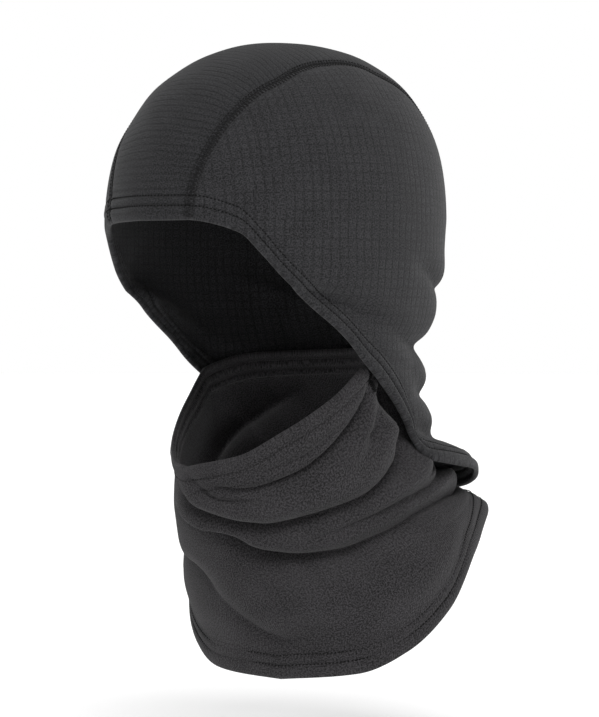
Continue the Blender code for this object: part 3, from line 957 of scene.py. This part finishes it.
def make_side(name, side):
    columns = ALONG + 1
    sideways = []
    backwards = []
    for k, distance in enumerate(HEM_ROWS):
        start = math.atan2(front_ends[k][1], front_ends[k][0])
        end = math.atan2(back_ends[k][1], back_ends[k][0])
        angle = np.linspace(start, end, columns)
        share = 1 - distance / hood_run(np.degrees(angle))
        sideways.append(np.cos(angle) * share)
        backwards.append(np.sin(angle) * share)
    number = [list(range(k * columns, (k + 1) * columns)) for k in range(len(HEM_ROWS))]
    count = len(HEM_ROWS) * columns
    low_s, low_b = sideways[-1], backwards[-1]
    seam_b = seam_places()
    seam_s = seam_share(seam_b)
    for r in range(1, SIDE_DOWN + 1):
        t = r / SIDE_DOWN
        row_s = low_s + (seam_s - low_s) * t
        row_b = low_b + (seam_b - low_b) * t
        sideways.append(row_s[1:-1])
        backwards.append(row_b[1:-1])
        number.append([number[len(HEM_ROWS) - 1][0]] + list(range(count, count + columns - 2))
                      + [number[len(HEM_ROWS) - 1][-1]])
        count += columns - 2
    sideways = np.concatenate(sideways)
    backwards = np.concatenate(backwards)
    distance = (1 - np.hypot(sideways, backwards)) * hood_run(np.degrees(np.arctan2(backwards, sideways)))
    faces = [(number[r][c], number[r][c + 1], number[r + 1][c + 1], number[r + 1][c])
             for r in range(len(number) - 1) for c in range(columns - 1)]
    sideways = sideways * side
    flat = unroll(bare_hood(sideways, backwards), side)
    return hood_cloth(name, sideways, backwards, distance, faces, flat, SIDE_FLEECE)


side_left = make_side("side_cloth_left", 1)
side_right = make_side("side_cloth_right", -1)

# %% [markdown]
# ## Gaiter
# The gaiter is one loop of smooth fleece. Its top hem runs under the chin and up behind the ears, its bottom
# hem is the edge of a bib that covers the collarbones and the shoulders. It is pulled up and left to fall, so
# it lies in deep swags, and the surface below is drawn crease by crease.

# %% Loops of the gaiter
# half width, y of the widest, front y, back y, roundness of the front, turn to the wearer's left in degrees
GAITER_LOOPS = (
    (63, 8, -63, 74, 1.5, 0), (63, 20, -57, 84, 1.6, 2), (68, 34, -40, 91, 1.9, 6),
    (83, 50, -30, 124, 2, 14), (87, 56, -26, 133, 2, 20),
)
# height of each loop by angle from its front
GAITER_HEIGHTS = (
    ((0, -104), (30, -98), (50, -84), (70, -67), (90, -50), (120, -41), (180, -38)),
    ((0, -128), (30, -124), (50, -114), (70, -100), (90, -84), (120, -70), (180, -62)),
    ((0, -154), (30, -151), (50, -143), (70, -131), (90, -114), (120, -99), (180, -91)),
    ((0, -186), (30, -182), (50, -174), (70, -158), (90, -138), (120, -119), (180, -112)),
    ((0, -219), (30, -215), (50, -203), (70, -181), (90, -151), (120, -131), (180, -128)),
)
GAITER_STEPS = 300
CHIN_ROUND = 0.12       # keeps the very front of the loops from coming to an edge


def gaiter_line(degrees):
    """The gaiter's outer face at one angle, from the top hem to the bottom hem."""
    steps = np.linspace(0, 1, len(GAITER_LOOPS))
    share = np.linspace(0, 1, GAITER_STEPS + 1)
    half, middle, front, back, roundness, turn = (
        eased(share, [(s, loop[k]) for s, loop in zip(steps, GAITER_LOOPS)]) for k in range(6))
    cx = math.cos(math.radians(degrees))
    sy = math.sin(math.radians(degrees))
    power = 2 / roundness if sy < 0 else np.ones_like(share)
    depth = back - middle if sy > 0 else middle - front
    x = half * cx * ((cx * cx + CHIN_ROUND) / (1 + CHIN_ROUND))**((power - 1) / 2)
    y = middle + depth * math.copysign(1, sy) * abs(sy)**power
    from_front = np.abs((degrees + 90 - turn + 180) % 360 - 180)
    levels = np.array([eased(from_front, table) for table in GAITER_HEIGHTS])
    z = np.array([float(eased(s, list(zip(steps, levels[:, k])))) for k, s in enumerate(share)])
    return np.stack([x, y, z], 1)


GAITER_GRID = np.array([gaiter_line(d) for d in degrees_listed])
GAITER_RUN = np.concatenate([np.zeros((len(degrees_listed), 1)), np.cumsum(
    np.linalg.norm(np.diff(GAITER_GRID, axis=1), axis=2), axis=1)], 1)
front_run, back_run = GAITER_RUN[FOREHEAD, -1], GAITER_RUN[NAPE, -1]
print("gaiter from hem to hem, front", round(front_run), "mm, back", round(back_run), "mm")


# %% [markdown]
# Creases of the gaiter are drawn as (degrees round the neck, share of the way down, strength). Under the chin
# they hang in nested swags; towards the left ear they climb and gather under the hood's hem; at the back they
# run nearly level. The wearer's right side has its own, so that the two sides aren't alike.

# %% Creases of the gaiter
AROUND = 1.32           # millimetres per degree round the gaiter
DOWN = 150.0            # millimetres for the whole way down
GAITER_CREASES = (
    # points (degrees, share, strength), depth, width above, width below
    (((-88, 0.06, 0), (-75, 0.10, 0.5), (-62, 0.135, 0.9), (-42, 0.175, 1), (-26, 0.165, 1), (-12, 0.125, 1),
      (4, 0.05, 0.9)), 7.5, 4.5, 5.5),
    (((-92, 0.03, 0), (-86, 0.07, 0.8), (-74, 0.165, 1), (-60, 0.205, 0.8), (-48, 0.235, 0)), 6.0, 5, 6),
    (((-70, 0.075, 0), (-54, 0.09, 0.8), (-38, 0.115, 1), (-22, 0.10, 0.9), (-8, 0.06, 0)), 4.0, 4, 5),
    (((-128, 0.02, 0), (-112, 0.08, 0.7), (-99, 0.165, 1), (-78, 0.26, 1), (-62, 0.325, 1), (-46, 0.348, 1),
      (-30, 0.365, 1), (-12, 0.388, 1), (0, 0.392, 1), (7, 0.375, 1.1), (13, 0.325, 1.2), (17, 0.263, 1.2),
      (15, 0.2, 1.1), (11, 0.12, 1)), 12.5, 6.5, 8),
    (((10, 0.36, 0), (18, 0.32, 0.8), (24, 0.265, 1), (22, 0.2, 1), (16, 0.12, 0.8)), 9.0, 7, 7),
    (((-122, 0.27, 0), (-99, 0.325, 0.9), (-78, 0.39, 0.9), (-66, 0.47, 1), (-34, 0.53, 1), (-15, 0.55, 0.9),
      (9, 0.60, 0.9), (28, 0.645, 1), (46, 0.685, 1), (70, 0.68, 0.8), (100, 0.66, 0.5), (125, 0.64, 0)),
     12.5, 6.5, 9),
    (((-62, 0.435, 0), (-45, 0.438, 0.5), (-16, 0.463, 0.9), (8, 0.525, 1), (26, 0.562, 1), (42, 0.555, 1),
      (60, 0.56, 0.8), (90, 0.55, 0.4), (110, 0.54, 0)), 9.0, 5.5, 7),
    (((12, 0.515, 0), (24, 0.51, 0.8), (33, 0.485, 1), (42, 0.438, 1), (60, 0.42, 0.8), (80, 0.42, 0.5),
      (100, 0.42, 0)), 8.0, 5, 6),
    (((-56, 0.65, 0), (-40, 0.64, 0.7), (-27, 0.635, 0.8), (-3, 0.675, 1), (27, 0.75, 0.8), (46, 0.79, 0.6),
      (70, 0.80, 0)), 5.0, 8, 10),
    (((-140, 0.55, 0), (-122, 0.57, 1), (-108, 0.585, 1), (-94, 0.68, 0.45), (-81, 0.775, 0.55),
      (-66, 0.85, 0.6), (-54, 0.83, 0)), 6.0, 7, 9),
    (((-20, 0.27, 0), (-8, 0.25, 0.7), (0, 0.19, 0.9), (4, 0.1, 0.5)), 5.0, 5, 6),
    (((128, 0.2, 0), (150, 0.26, 0.8), (175, 0.33, 1), (200, 0.37, 1), (218, 0.36, 0.9), (232, 0.33, 0)),
     6.0, 7, 5.5),
    (((110, 0.45, 0), (140, 0.48, 0.9), (170, 0.52, 1), (200, 0.56, 1), (214, 0.55, 0.7), (224, 0.52, 0)),
     6.0, 8, 6),
)


def gaiter_out(degrees, share):
    share = np.clip(share, 0.006, 0.994)
    return -square_to(bare_gaiter, degrees, share, 0.8, 0.005)


def bare_gaiter(degrees, share):
    return grid_read(GAITER_GRID, degrees, share, GAITER_STEPS)


def gaiter_distances(degrees, share):
    """Distance from the top hem and from the bottom hem, in mm."""
    run = grid_read(GAITER_RUN[..., None], degrees, share, GAITER_STEPS)[..., 0]
    total = grid_read(GAITER_RUN[..., None], degrees, np.ones_like(share), GAITER_STEPS)[..., 0]
    return run, total - run


def gaiter_creases(degrees, share):
    scaled = []
    for points, deep, above, below in GAITER_CREASES:
        scaled.append(([(a * AROUND, s * DOWN, w) for a, s, w in points], deep, above, below))
    wrapped = wrapped_degrees(degrees)
    depth, swell, sag = creases_at(wrapped * AROUND, share * DOWN, scaled)
    other, other_swell, other_sag = creases_at((wrapped + 360) * AROUND, share * DOWN, scaled)
    return np.maximum(depth, other) - swell - other_swell, sag + other_sag


def wrapped_degrees(degrees):
    return np.mod(degrees + 135, 360) - 135


BIB_CORNER = 50         # degrees: behind the left shoulder the bib's hem turns a corner
CORNER_WIDTH = 13       # degrees on each side of it over which it stands off the body
CORNER_STANDS = 5.5
GAITER_LIFT = 3.2       # the gaiter's cloth stands out this much between its creases
FLUTTER = 1.2           # the bib's hem waves in and out this much
GAITER_UNEVEN = 1.0


def gaiter_skin(degrees, share):
    """The gaiter's outer face with its folds, in millimetres."""
    place = bare_gaiter(degrees, share)
    out = gaiter_out(degrees, share)
    top, foot = gaiter_distances(degrees, share)
    depth, sag = gaiter_creases(degrees, share)
    calm = ramp(top, 2, 16) * ramp(foot, 4, 26)
    hidden = ramp(place[..., 2] - hood_edge(np.mod(degrees + 180, 360) - 180), -10, 4)
    lift = GAITER_LIFT * (1 - hidden) * ramp(share, 0.1, 0.3) * (1 - ramp(share, 0.72, 0.95))
    move = lift * calm - depth * (0.35 + 0.65 * calm)
    move = move + GAITER_UNEVEN * calm * waves(degrees * AROUND, share * DOWN, 62, 8)
    move = move + eased(np.clip(top, 0, 30), HEM_RELIEF) + eased(np.clip(foot, 0, 30), HEM_RELIEF)
    flutter = waves(degrees * AROUND, share * 20, 58, 9) * (1 - ramp(foot, 10, 60))
    corner = np.exp(-((wrapped_degrees(degrees) - BIB_CORNER) / CORNER_WIDTH)**2) * ramp(share, 0.7, 1.0)
    move = move + FLUTTER * flutter + CORNER_STANDS * corner
    down = unit(bare_gaiter(degrees, share + 0.01) - bare_gaiter(degrees, share - 0.01))
    return place + out * move[..., None] + down * (sag * calm)[..., None]


def gaiter_normal(degrees, share):
    return -square_to(gaiter_skin, degrees, share, 0.35, 0.003)


# %% Gaiter cloth
GAITER_ROUND = 288      # columns of points round the neck
GAITER_DOWN = 112       # stretches between the hems
GAITER_MIDDLE = (0, 45, -130)


def gaiter_rows(degrees):
    """Shares of the rows of points at one angle: hem rows, even rows, hem rows."""
    i = int(round((np.mod(degrees + 180, 360)) / ANGLE_STEP))
    run = GAITER_RUN[i]
    share = np.linspace(0, 1, GAITER_STEPS + 1)
    top = np.interp(HEM_ROWS, run, share)
    foot = np.interp(run[-1] - np.array(HEM_ROWS[::-1]), run, share)
    return np.concatenate([top[:-1], np.linspace(top[-1], foot[0], GAITER_DOWN + 1), foot[1:]])


def make_gaiter():
    turns = 90 + 360 * np.arange(GAITER_ROUND) / GAITER_ROUND
    shares = np.array([gaiter_rows(d) for d in turns]).T
    degrees = np.repeat(turns[None, :], shares.shape[0], 0)
    count, columns = shares.shape
    number = np.arange(count * columns).reshape(count, columns)
    faces = [(number[r, c], number[r, (c + 1) % columns], number[r + 1, (c + 1) % columns], number[r + 1, c])
             for r in range(count - 1) for c in range(columns)]
    degrees = degrees.ravel()
    share = shares.ravel()
    outer = gaiter_skin(degrees, share)
    out = gaiter_normal(degrees, share)
    top, foot = gaiter_distances(degrees, share)
    thick = layers(np.minimum(top, foot), JERSEY)
    inner = outer - out * thick[:, None]
    flat = np.stack([(degrees - 90) * AROUND, share * DOWN], 1)
    faces = outward_faces(faces, outer, GAITER_MIDDLE)
    return thick_cloth("gaiter_cloth", outer, inner, faces, flat, thick * RIM_REACH, SMOOTH_FLEECE,
                       turn_width=360 * AROUND)


gaiter = make_gaiter()

# %% [markdown]
# ## Stitches
# A row of stitches is one small rounded stitch, repeated along a line on the cloth: a job for Geometry Nodes.
# The line is a mesh of edges that carries the direction out of the cloth at each point. The tree turns it
# into a curve, spaces points along it, puts a stitch on each one and turns it to the line and to the cloth.

# %% The stitch tree
def make_stitch_tree():
    tree, n = node_group(
        "row_of_stitches", "GeometryNodeTree",
        [("Geometry", "NodeSocketGeometry", None), ("Pitch", "NodeSocketFloat", 0.0021),
         ("Length", "NodeSocketFloat", 0.0017), ("Width", "NodeSocketFloat", 0.0005),
         ("Height", "NodeSocketFloat", 0.0004), ("Lean", "NodeSocketFloat", 0.0),
         ("Alternate", "NodeSocketFloat", 0.0), ("Unevenness", "NodeSocketFloat", 0.08),
         ("Seed", "NodeSocketInt", 1), ("Finish", "NodeSocketMaterial", None)],
        [("Geometry", "NodeSocketGeometry")])
    read = n.add("NodeGroupInput").outputs
    put = n.add("NodeGroupOutput").inputs
    curve = n.add("GeometryNodeMeshToCurve")
    n.put(curve.inputs["Mesh"], read["Geometry"])
    spaced = n.add("GeometryNodeResampleCurve", mode="LENGTH")
    n.put(spaced.inputs["Curve"], curve.outputs["Curve"])
    n.put(spaced.inputs["Length"], read["Pitch"])
    ball = n.add("GeometryNodeMeshUVSphere")
    ball.inputs["Segments"].default_value = 6
    ball.inputs["Rings"].default_value = 5
    ball.inputs["Radius"].default_value = 0.5
    out = n.add("GeometryNodeInputNamedAttribute", data_type="FLOAT_VECTOR")
    out.inputs["Name"].default_value = "out"
    tangent = n.add("GeometryNodeInputTangent")
    along = n.add("FunctionNodeAlignRotationToVector", axis="X")
    n.put(along.inputs["Vector"], tangent.outputs[0])
    facing = n.add("FunctionNodeAlignRotationToVector", axis="Z", pivot_axis="X")
    n.put(facing.inputs["Rotation"], along.outputs["Rotation"])
    n.put(facing.inputs["Vector"], out.outputs["Attribute"])
    index = n.add("GeometryNodeInputIndex")
    odd = n.math("MODULO", index.outputs[0], 2.0)
    swing = n.math("MULTIPLY", n.math("SUBTRACT", n.math("MULTIPLY", odd, 2.0), 1.0), read["Alternate"])
    chance = n.add("FunctionNodeRandomValue", data_type="FLOAT")
    chance.inputs[2].default_value = -1.0
    chance.inputs[3].default_value = 1.0
    n.put(chance.inputs["Seed"], read["Seed"])
    uneven = n.math("MULTIPLY", chance.outputs[1], read["Unevenness"])
    lean = n.math("ADD", n.math("ADD", read["Lean"], swing), uneven)
    turn = n.add("ShaderNodeCombineXYZ")
    n.put(turn.inputs["Z"], lean)
    as_rotation = n.add("FunctionNodeEulerToRotation")
    n.put(as_rotation.inputs[0], turn.outputs[0])
    turned = n.add("FunctionNodeRotateRotation", rotation_space="LOCAL")
    n.put(turned.inputs["Rotation"], facing.outputs["Rotation"])
    n.put(turned.inputs["Rotate By"], as_rotation.outputs[0])
    size = n.add("ShaderNodeCombineXYZ")
    n.put(size.inputs["X"], n.math("MULTIPLY", read["Length"], n.math("ADD", 1.0, uneven)))
    n.put(size.inputs["Y"], read["Width"])
    n.put(size.inputs["Z"], read["Height"])
    placed = n.add("GeometryNodeInstanceOnPoints")
    n.put(placed.inputs["Points"], spaced.outputs["Curve"])
    n.put(placed.inputs["Instance"], ball.outputs["Mesh"])
    n.put(placed.inputs["Rotation"], turned.outputs["Rotation"])
    n.put(placed.inputs["Scale"], size.outputs[0])
    real = n.add("GeometryNodeRealizeInstances")
    n.put(real.inputs[0], placed.outputs[0])
    finish = n.add("GeometryNodeSetMaterial")
    n.put(finish.inputs["Geometry"], real.outputs[0])
    n.put(finish.inputs["Material"], read["Finish"])
    n.put(put["Geometry"], finish.outputs[0])
    return tree


STITCH_TREE = make_stitch_tree()
STITCH_PITCH = 2.1      # from one needle stitch to the next


def line_mesh(name, lines):
    """Lines of (points, outward directions, closed) in mm as one mesh of edges."""
    places, edges, outs = [], [], []
    for points, out, closed in lines:
        start = len(places)
        places += (points * MM).tolist()
        outs += out.tolist()
        edges += [(start + k, start + k + 1) for k in range(len(points) - 1)]
        if closed:
            edges.append((start + len(points) - 1, start))
    mesh = bpy.data.meshes.new(name)
    mesh.from_pydata(places, edges, [])
    carried = mesh.attributes.new("out", "FLOAT_VECTOR", "POINT")
    carried.data.foreach_set("vector", np.array(outs, np.float32).ravel())
    return mesh


def sew(name, lines, **sizes):
    """A row, or rows, of stitches as a plain mesh."""
    source = bpy.data.objects.new(name + "_line", line_mesh(name + "_line", lines))
    bpy.context.scene.collection.objects.link(source)
    rows = source.modifiers.new("stitches", "NODES")
    rows.node_group = STITCH_TREE
    values = {"Pitch": STITCH_PITCH * MM, "Finish": HEM_THREAD, **sizes}
    for item in STITCH_TREE.interface.items_tree:
        if item.item_type == "SOCKET" and item.in_out == "INPUT" and item.name in values:
            rows[item.identifier] = values[item.name]
    bpy.context.view_layer.update()
    shape = bpy.data.meshes.new_from_object(source.evaluated_get(bpy.context.evaluated_depsgraph_get()))
    bpy.data.objects.remove(source)
    shape.name = name
    shape.shade_smooth()
    piece = bpy.data.objects.new(name, shape)
    bpy.context.scene.collection.objects.link(piece)
    shape.calc_loop_triangles()
    print(name, len(shape.loop_triangles), "triangles")
    return piece


def join(name, parts):
    """Several meshes as one piece."""
    with bpy.context.temp_override(active_object=parts[0], selected_editable_objects=parts):
        bpy.ops.object.join()
    parts[0].name = name
    parts[0].data.name = name
    return parts[0]


# %% [markdown]
# Hem rows: a coverstitch shows two rows of single stitches on the outside and a loose zigzag of looper thread
# over the raw edge on the inside. The lines are read off the finished skins, just above the groove that
# each row is sunk in.

# %% Hem stitches
ON_CLOTH = 0.2          # centre of a stitch above the bottom of its groove


def hood_line(distance, depth=ON_CLOTH, steps=420):
    """A line all round the hood at a distance from its edge; depth is its height over the outer face."""
    angle = np.linspace(-math.pi, math.pi, steps, endpoint=False)
    share = 1 - distance / hood_run(np.degrees(angle))
    sideways = np.cos(angle) * share
    backwards = np.sin(angle) * share
    out = hood_normal(sideways, backwards)
    return hood_skin(sideways, backwards) + out * depth, out, True


def gaiter_line_at(distance, from_top, depth=ON_CLOTH, steps=380):
    """A line all round the gaiter at a distance from one of its hems."""
    degrees = -180 + 360 * np.arange(steps) / steps
    share = np.zeros(steps)
    steps_down = np.linspace(0, 1, GAITER_STEPS + 1)
    for k, d in enumerate(degrees):
        run = GAITER_RUN[int(round((d + 180) / ANGLE_STEP))]
        share[k] = np.interp(distance if from_top else run[-1] - distance, run, steps_down)
    out = gaiter_normal(degrees, share)
    return gaiter_skin(degrees, share) + out * depth, out, True


NEEDLE = dict(Length=1.3 * MM, Width=0.95 * MM, Height=0.6 * MM)
LOOPER = dict(Length=5.2 * MM, Width=0.4 * MM, Height=0.35 * MM, Lean=math.pi / 2, Alternate=0.35)
LOOPER_LINE = (FIRST_ROW + SECOND_ROW) / 2

hood_rows = {}
for row, place in (("outer", FIRST_ROW), ("inner", SECOND_ROW)):
    hood_rows[row] = sew("hood_hem_stitches_" + row, [hood_line(place)], **NEEDLE)
hood_looper = sew("hood_hem_looper", [hood_line(LOOPER_LINE, -1.85 * FLEECE - 0.15)], Seed=5,
                  **{**LOOPER, "Pitch": STITCH_PITCH * MM / 2})
bib_rows = {}
top_rows = {}
for row, place in (("outer", FIRST_ROW), ("inner", SECOND_ROW)):
    bib_rows[row] = sew("bib_hem_stitches_" + row, [gaiter_line_at(place, False)], **NEEDLE)
    top_rows[row] = sew("top_hem_stitches_" + row, [gaiter_line_at(place, True)], Finish=TONAL_THREAD,
                        **NEEDLE)


# %% [markdown]
# A flatlock seam holds two edges side by side with nothing overlapping: two rows of needle stitches, and a
# ladder of thread laid across them. It lies flat under a helmet, which is why the hood is sewn with it.

# %% Flatlock seams
FLATLOCK = 6.0
LADDER_PITCH = 1.05


def seam_line(side, offset, depth):
    """A line beside the seam, offset in mm away from the crown's middle line."""
    ends_front = front_ends[0][1] + 0.004
    ends_back = back_ends[0][1] - 0.004
    backwards = np.linspace(ends_front, ends_back, 420)
    sideways = seam_share(backwards)
    run = hood_run(np.degrees(np.arctan2(backwards, sideways)))
    step = bare_hood(sideways + 0.01, backwards) - bare_hood(sideways - 0.01, backwards)
    sideways = side * (sideways + offset / (np.linalg.norm(step, axis=1) / 0.02))
    share = np.hypot(sideways, backwards)
    keep = (1 - share) * run > 0.6
    sideways, backwards = sideways[keep], backwards[keep]
    out = hood_normal(sideways, backwards)
    return hood_skin(sideways, backwards) + out * depth, out, False


def make_flatlock(name, side):
    rows = [seam_line(side, offset, 0.3) for offset in (0.5 - FLATLOCK / 2, FLATLOCK / 2 - 0.5)]
    across = dict(Finish=SEAM_THREAD, Pitch=LADDER_PITCH * MM, Length=5.0 * MM, Width=0.45 * MM,
                  Height=0.4 * MM, Lean=math.pi / 2)
    needles = sew(name + "_needles", rows, Finish=SEAM_THREAD, Length=1.5 * MM, Width=0.8 * MM,
                  Height=0.6 * MM)
    ladder = sew(name + "_ladder", [seam_line(side, 0, 0.2)], Alternate=0.2, Seed=7, **across)
    inside = sew(name + "_inside", [seam_line(side, 0, -FLEECE - 0.25)], Alternate=0.3, Seed=8, **across)
    return join(name, [needles, ladder, inside])


flatlocks = {name: make_flatlock("flatlock_stitches_" + name, side)
             for name, side in (("left", 1), ("right", -1))}


# %% [markdown]
# The gaiter's one seam runs down the middle of the back. Hood and gaiter are joined by a short row at the
# nape, under the flap, and the hood's hem is tacked to the gaiter behind each ear with a bar tack: a dense
# zigzag.

# %% Back seam, nape join and bar tacks
def gaiter_down_line(degrees, first, last, depth=ON_CLOTH, steps=120):
    share = np.linspace(first, last, steps)
    turned = np.full(steps, float(degrees))
    out = gaiter_normal(turned, share)
    return gaiter_skin(turned, share) + out * depth, out, False


SEAM_FROM = 0.3         # shares of the way down between which the back seam shows
SEAM_TO = 0.985
SEAM_HALF = 1.6         # degrees between the back's middle and each row of its needle stitches
back_lines = [gaiter_down_line(90 + turn, SEAM_FROM, SEAM_TO) for turn in (-SEAM_HALF, SEAM_HALF)]
back_needles = sew("back_seam_needles", back_lines, **NEEDLE)
back_ladder = sew("back_seam_ladder", [gaiter_down_line(90, SEAM_FROM, SEAM_TO, 0.1)],
                  Pitch=LADDER_PITCH * MM, Length=4.2 * MM, Width=0.4 * MM, Height=0.4 * MM,
                  Lean=math.pi / 2, Alternate=0.2, Seed=9)
back_seam = join("gaiter_back_seam_stitches", [back_needles, back_ladder])


def around_line(first, last, distance, depth, steps=60):
    """A line part of the way round, at a distance from the bottom hem, between two angles."""
    degrees = np.linspace(first, last, steps)
    share = np.zeros(steps)
    for k, d in enumerate(degrees):
        run = GAITER_RUN[int(round(((d + 180) % 360) / ANGLE_STEP))]
        share[k] = np.interp(run[-1] - distance, run, np.linspace(0, 1, GAITER_STEPS + 1))
    out = gaiter_normal(degrees, share)
    return gaiter_skin(degrees, share) + out * depth, out, False


nape_join = sew("nape_join_stitches", [around_line(72, 108, 9, 1.2), around_line(72, 108, 6, 1.2)],
                Length=1.9 * MM, Width=0.6 * MM, Height=0.55 * MM)


def make_tack(name, degrees):
    line = gaiter_down_line(degrees, 0.015, 0.085, 0.35, 40)
    return sew(name, [line], Pitch=0.55 * MM, Length=3.2 * MM, Width=0.5 * MM, Height=0.6 * MM,
               Lean=math.pi / 2, Alternate=0.12, Seed=11)


tacks = {"left": make_tack("bar_tack_stitches_left", 4), "right": make_tack("bar_tack_stitches_right", 176)}

# %% [markdown]
# ## Fastening it all to the frame
# Most pieces ride on the body that carries them. The gaiter's front lifts over the nose; its cloth and the
# stitches of its top hem are attached to no body and stay where they were made.


def hang(piece, body, slot, *nodes):
    if body == "lifting":
        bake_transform(piece)
    else:
        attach(piece, body)
    if nodes:
        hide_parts(*nodes)


hang(crown, "hood", "grid_fleece", "crown_panel", "hood_hem")
hang(side_left, "hood", "grid_fleece", "side_panel_left")
hang(side_right, "hood", "grid_fleece", "side_panel_right")
for side, piece in flatlocks.items():
    hang(piece, "hood", "thread", "flatlock_seam_" + side)
for row, piece in hood_rows.items():
    hang(piece, "hood", "thread", "hood_hem_thread_" + row)
hang(hood_looper, "hood", "thread")
hang(gaiter, "lifting", "smooth_fleece",
     "collar_back", "neck_panel", "bib_panel", "bib_hem", "mask_hem", "mask_panel")
for row, piece in top_rows.items():
    hang(piece, "lifting", "thread", "mask_hem_thread_" + row)
for row, piece in bib_rows.items():
    hang(piece, "gaiter", "thread", "bib_hem_thread_" + row)
hang(back_seam, "gaiter", "thread", "gaiter_back_seam")
hang(nape_join, "gaiter", "thread", "nape_join_seam")
for side, piece in tacks.items():
    hang(piece, "gaiter", "thread", "bar_tack_" + side)

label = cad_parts["care_label"]
label.data.materials.clear()
label.data.materials.append(LABEL)

# %% [markdown]
# The crown strip and the sides are held stretched by the head; the gaiter is gathered, since it is longer
# than the neck.

# %% [markdown]

# %% The end
print("the end")
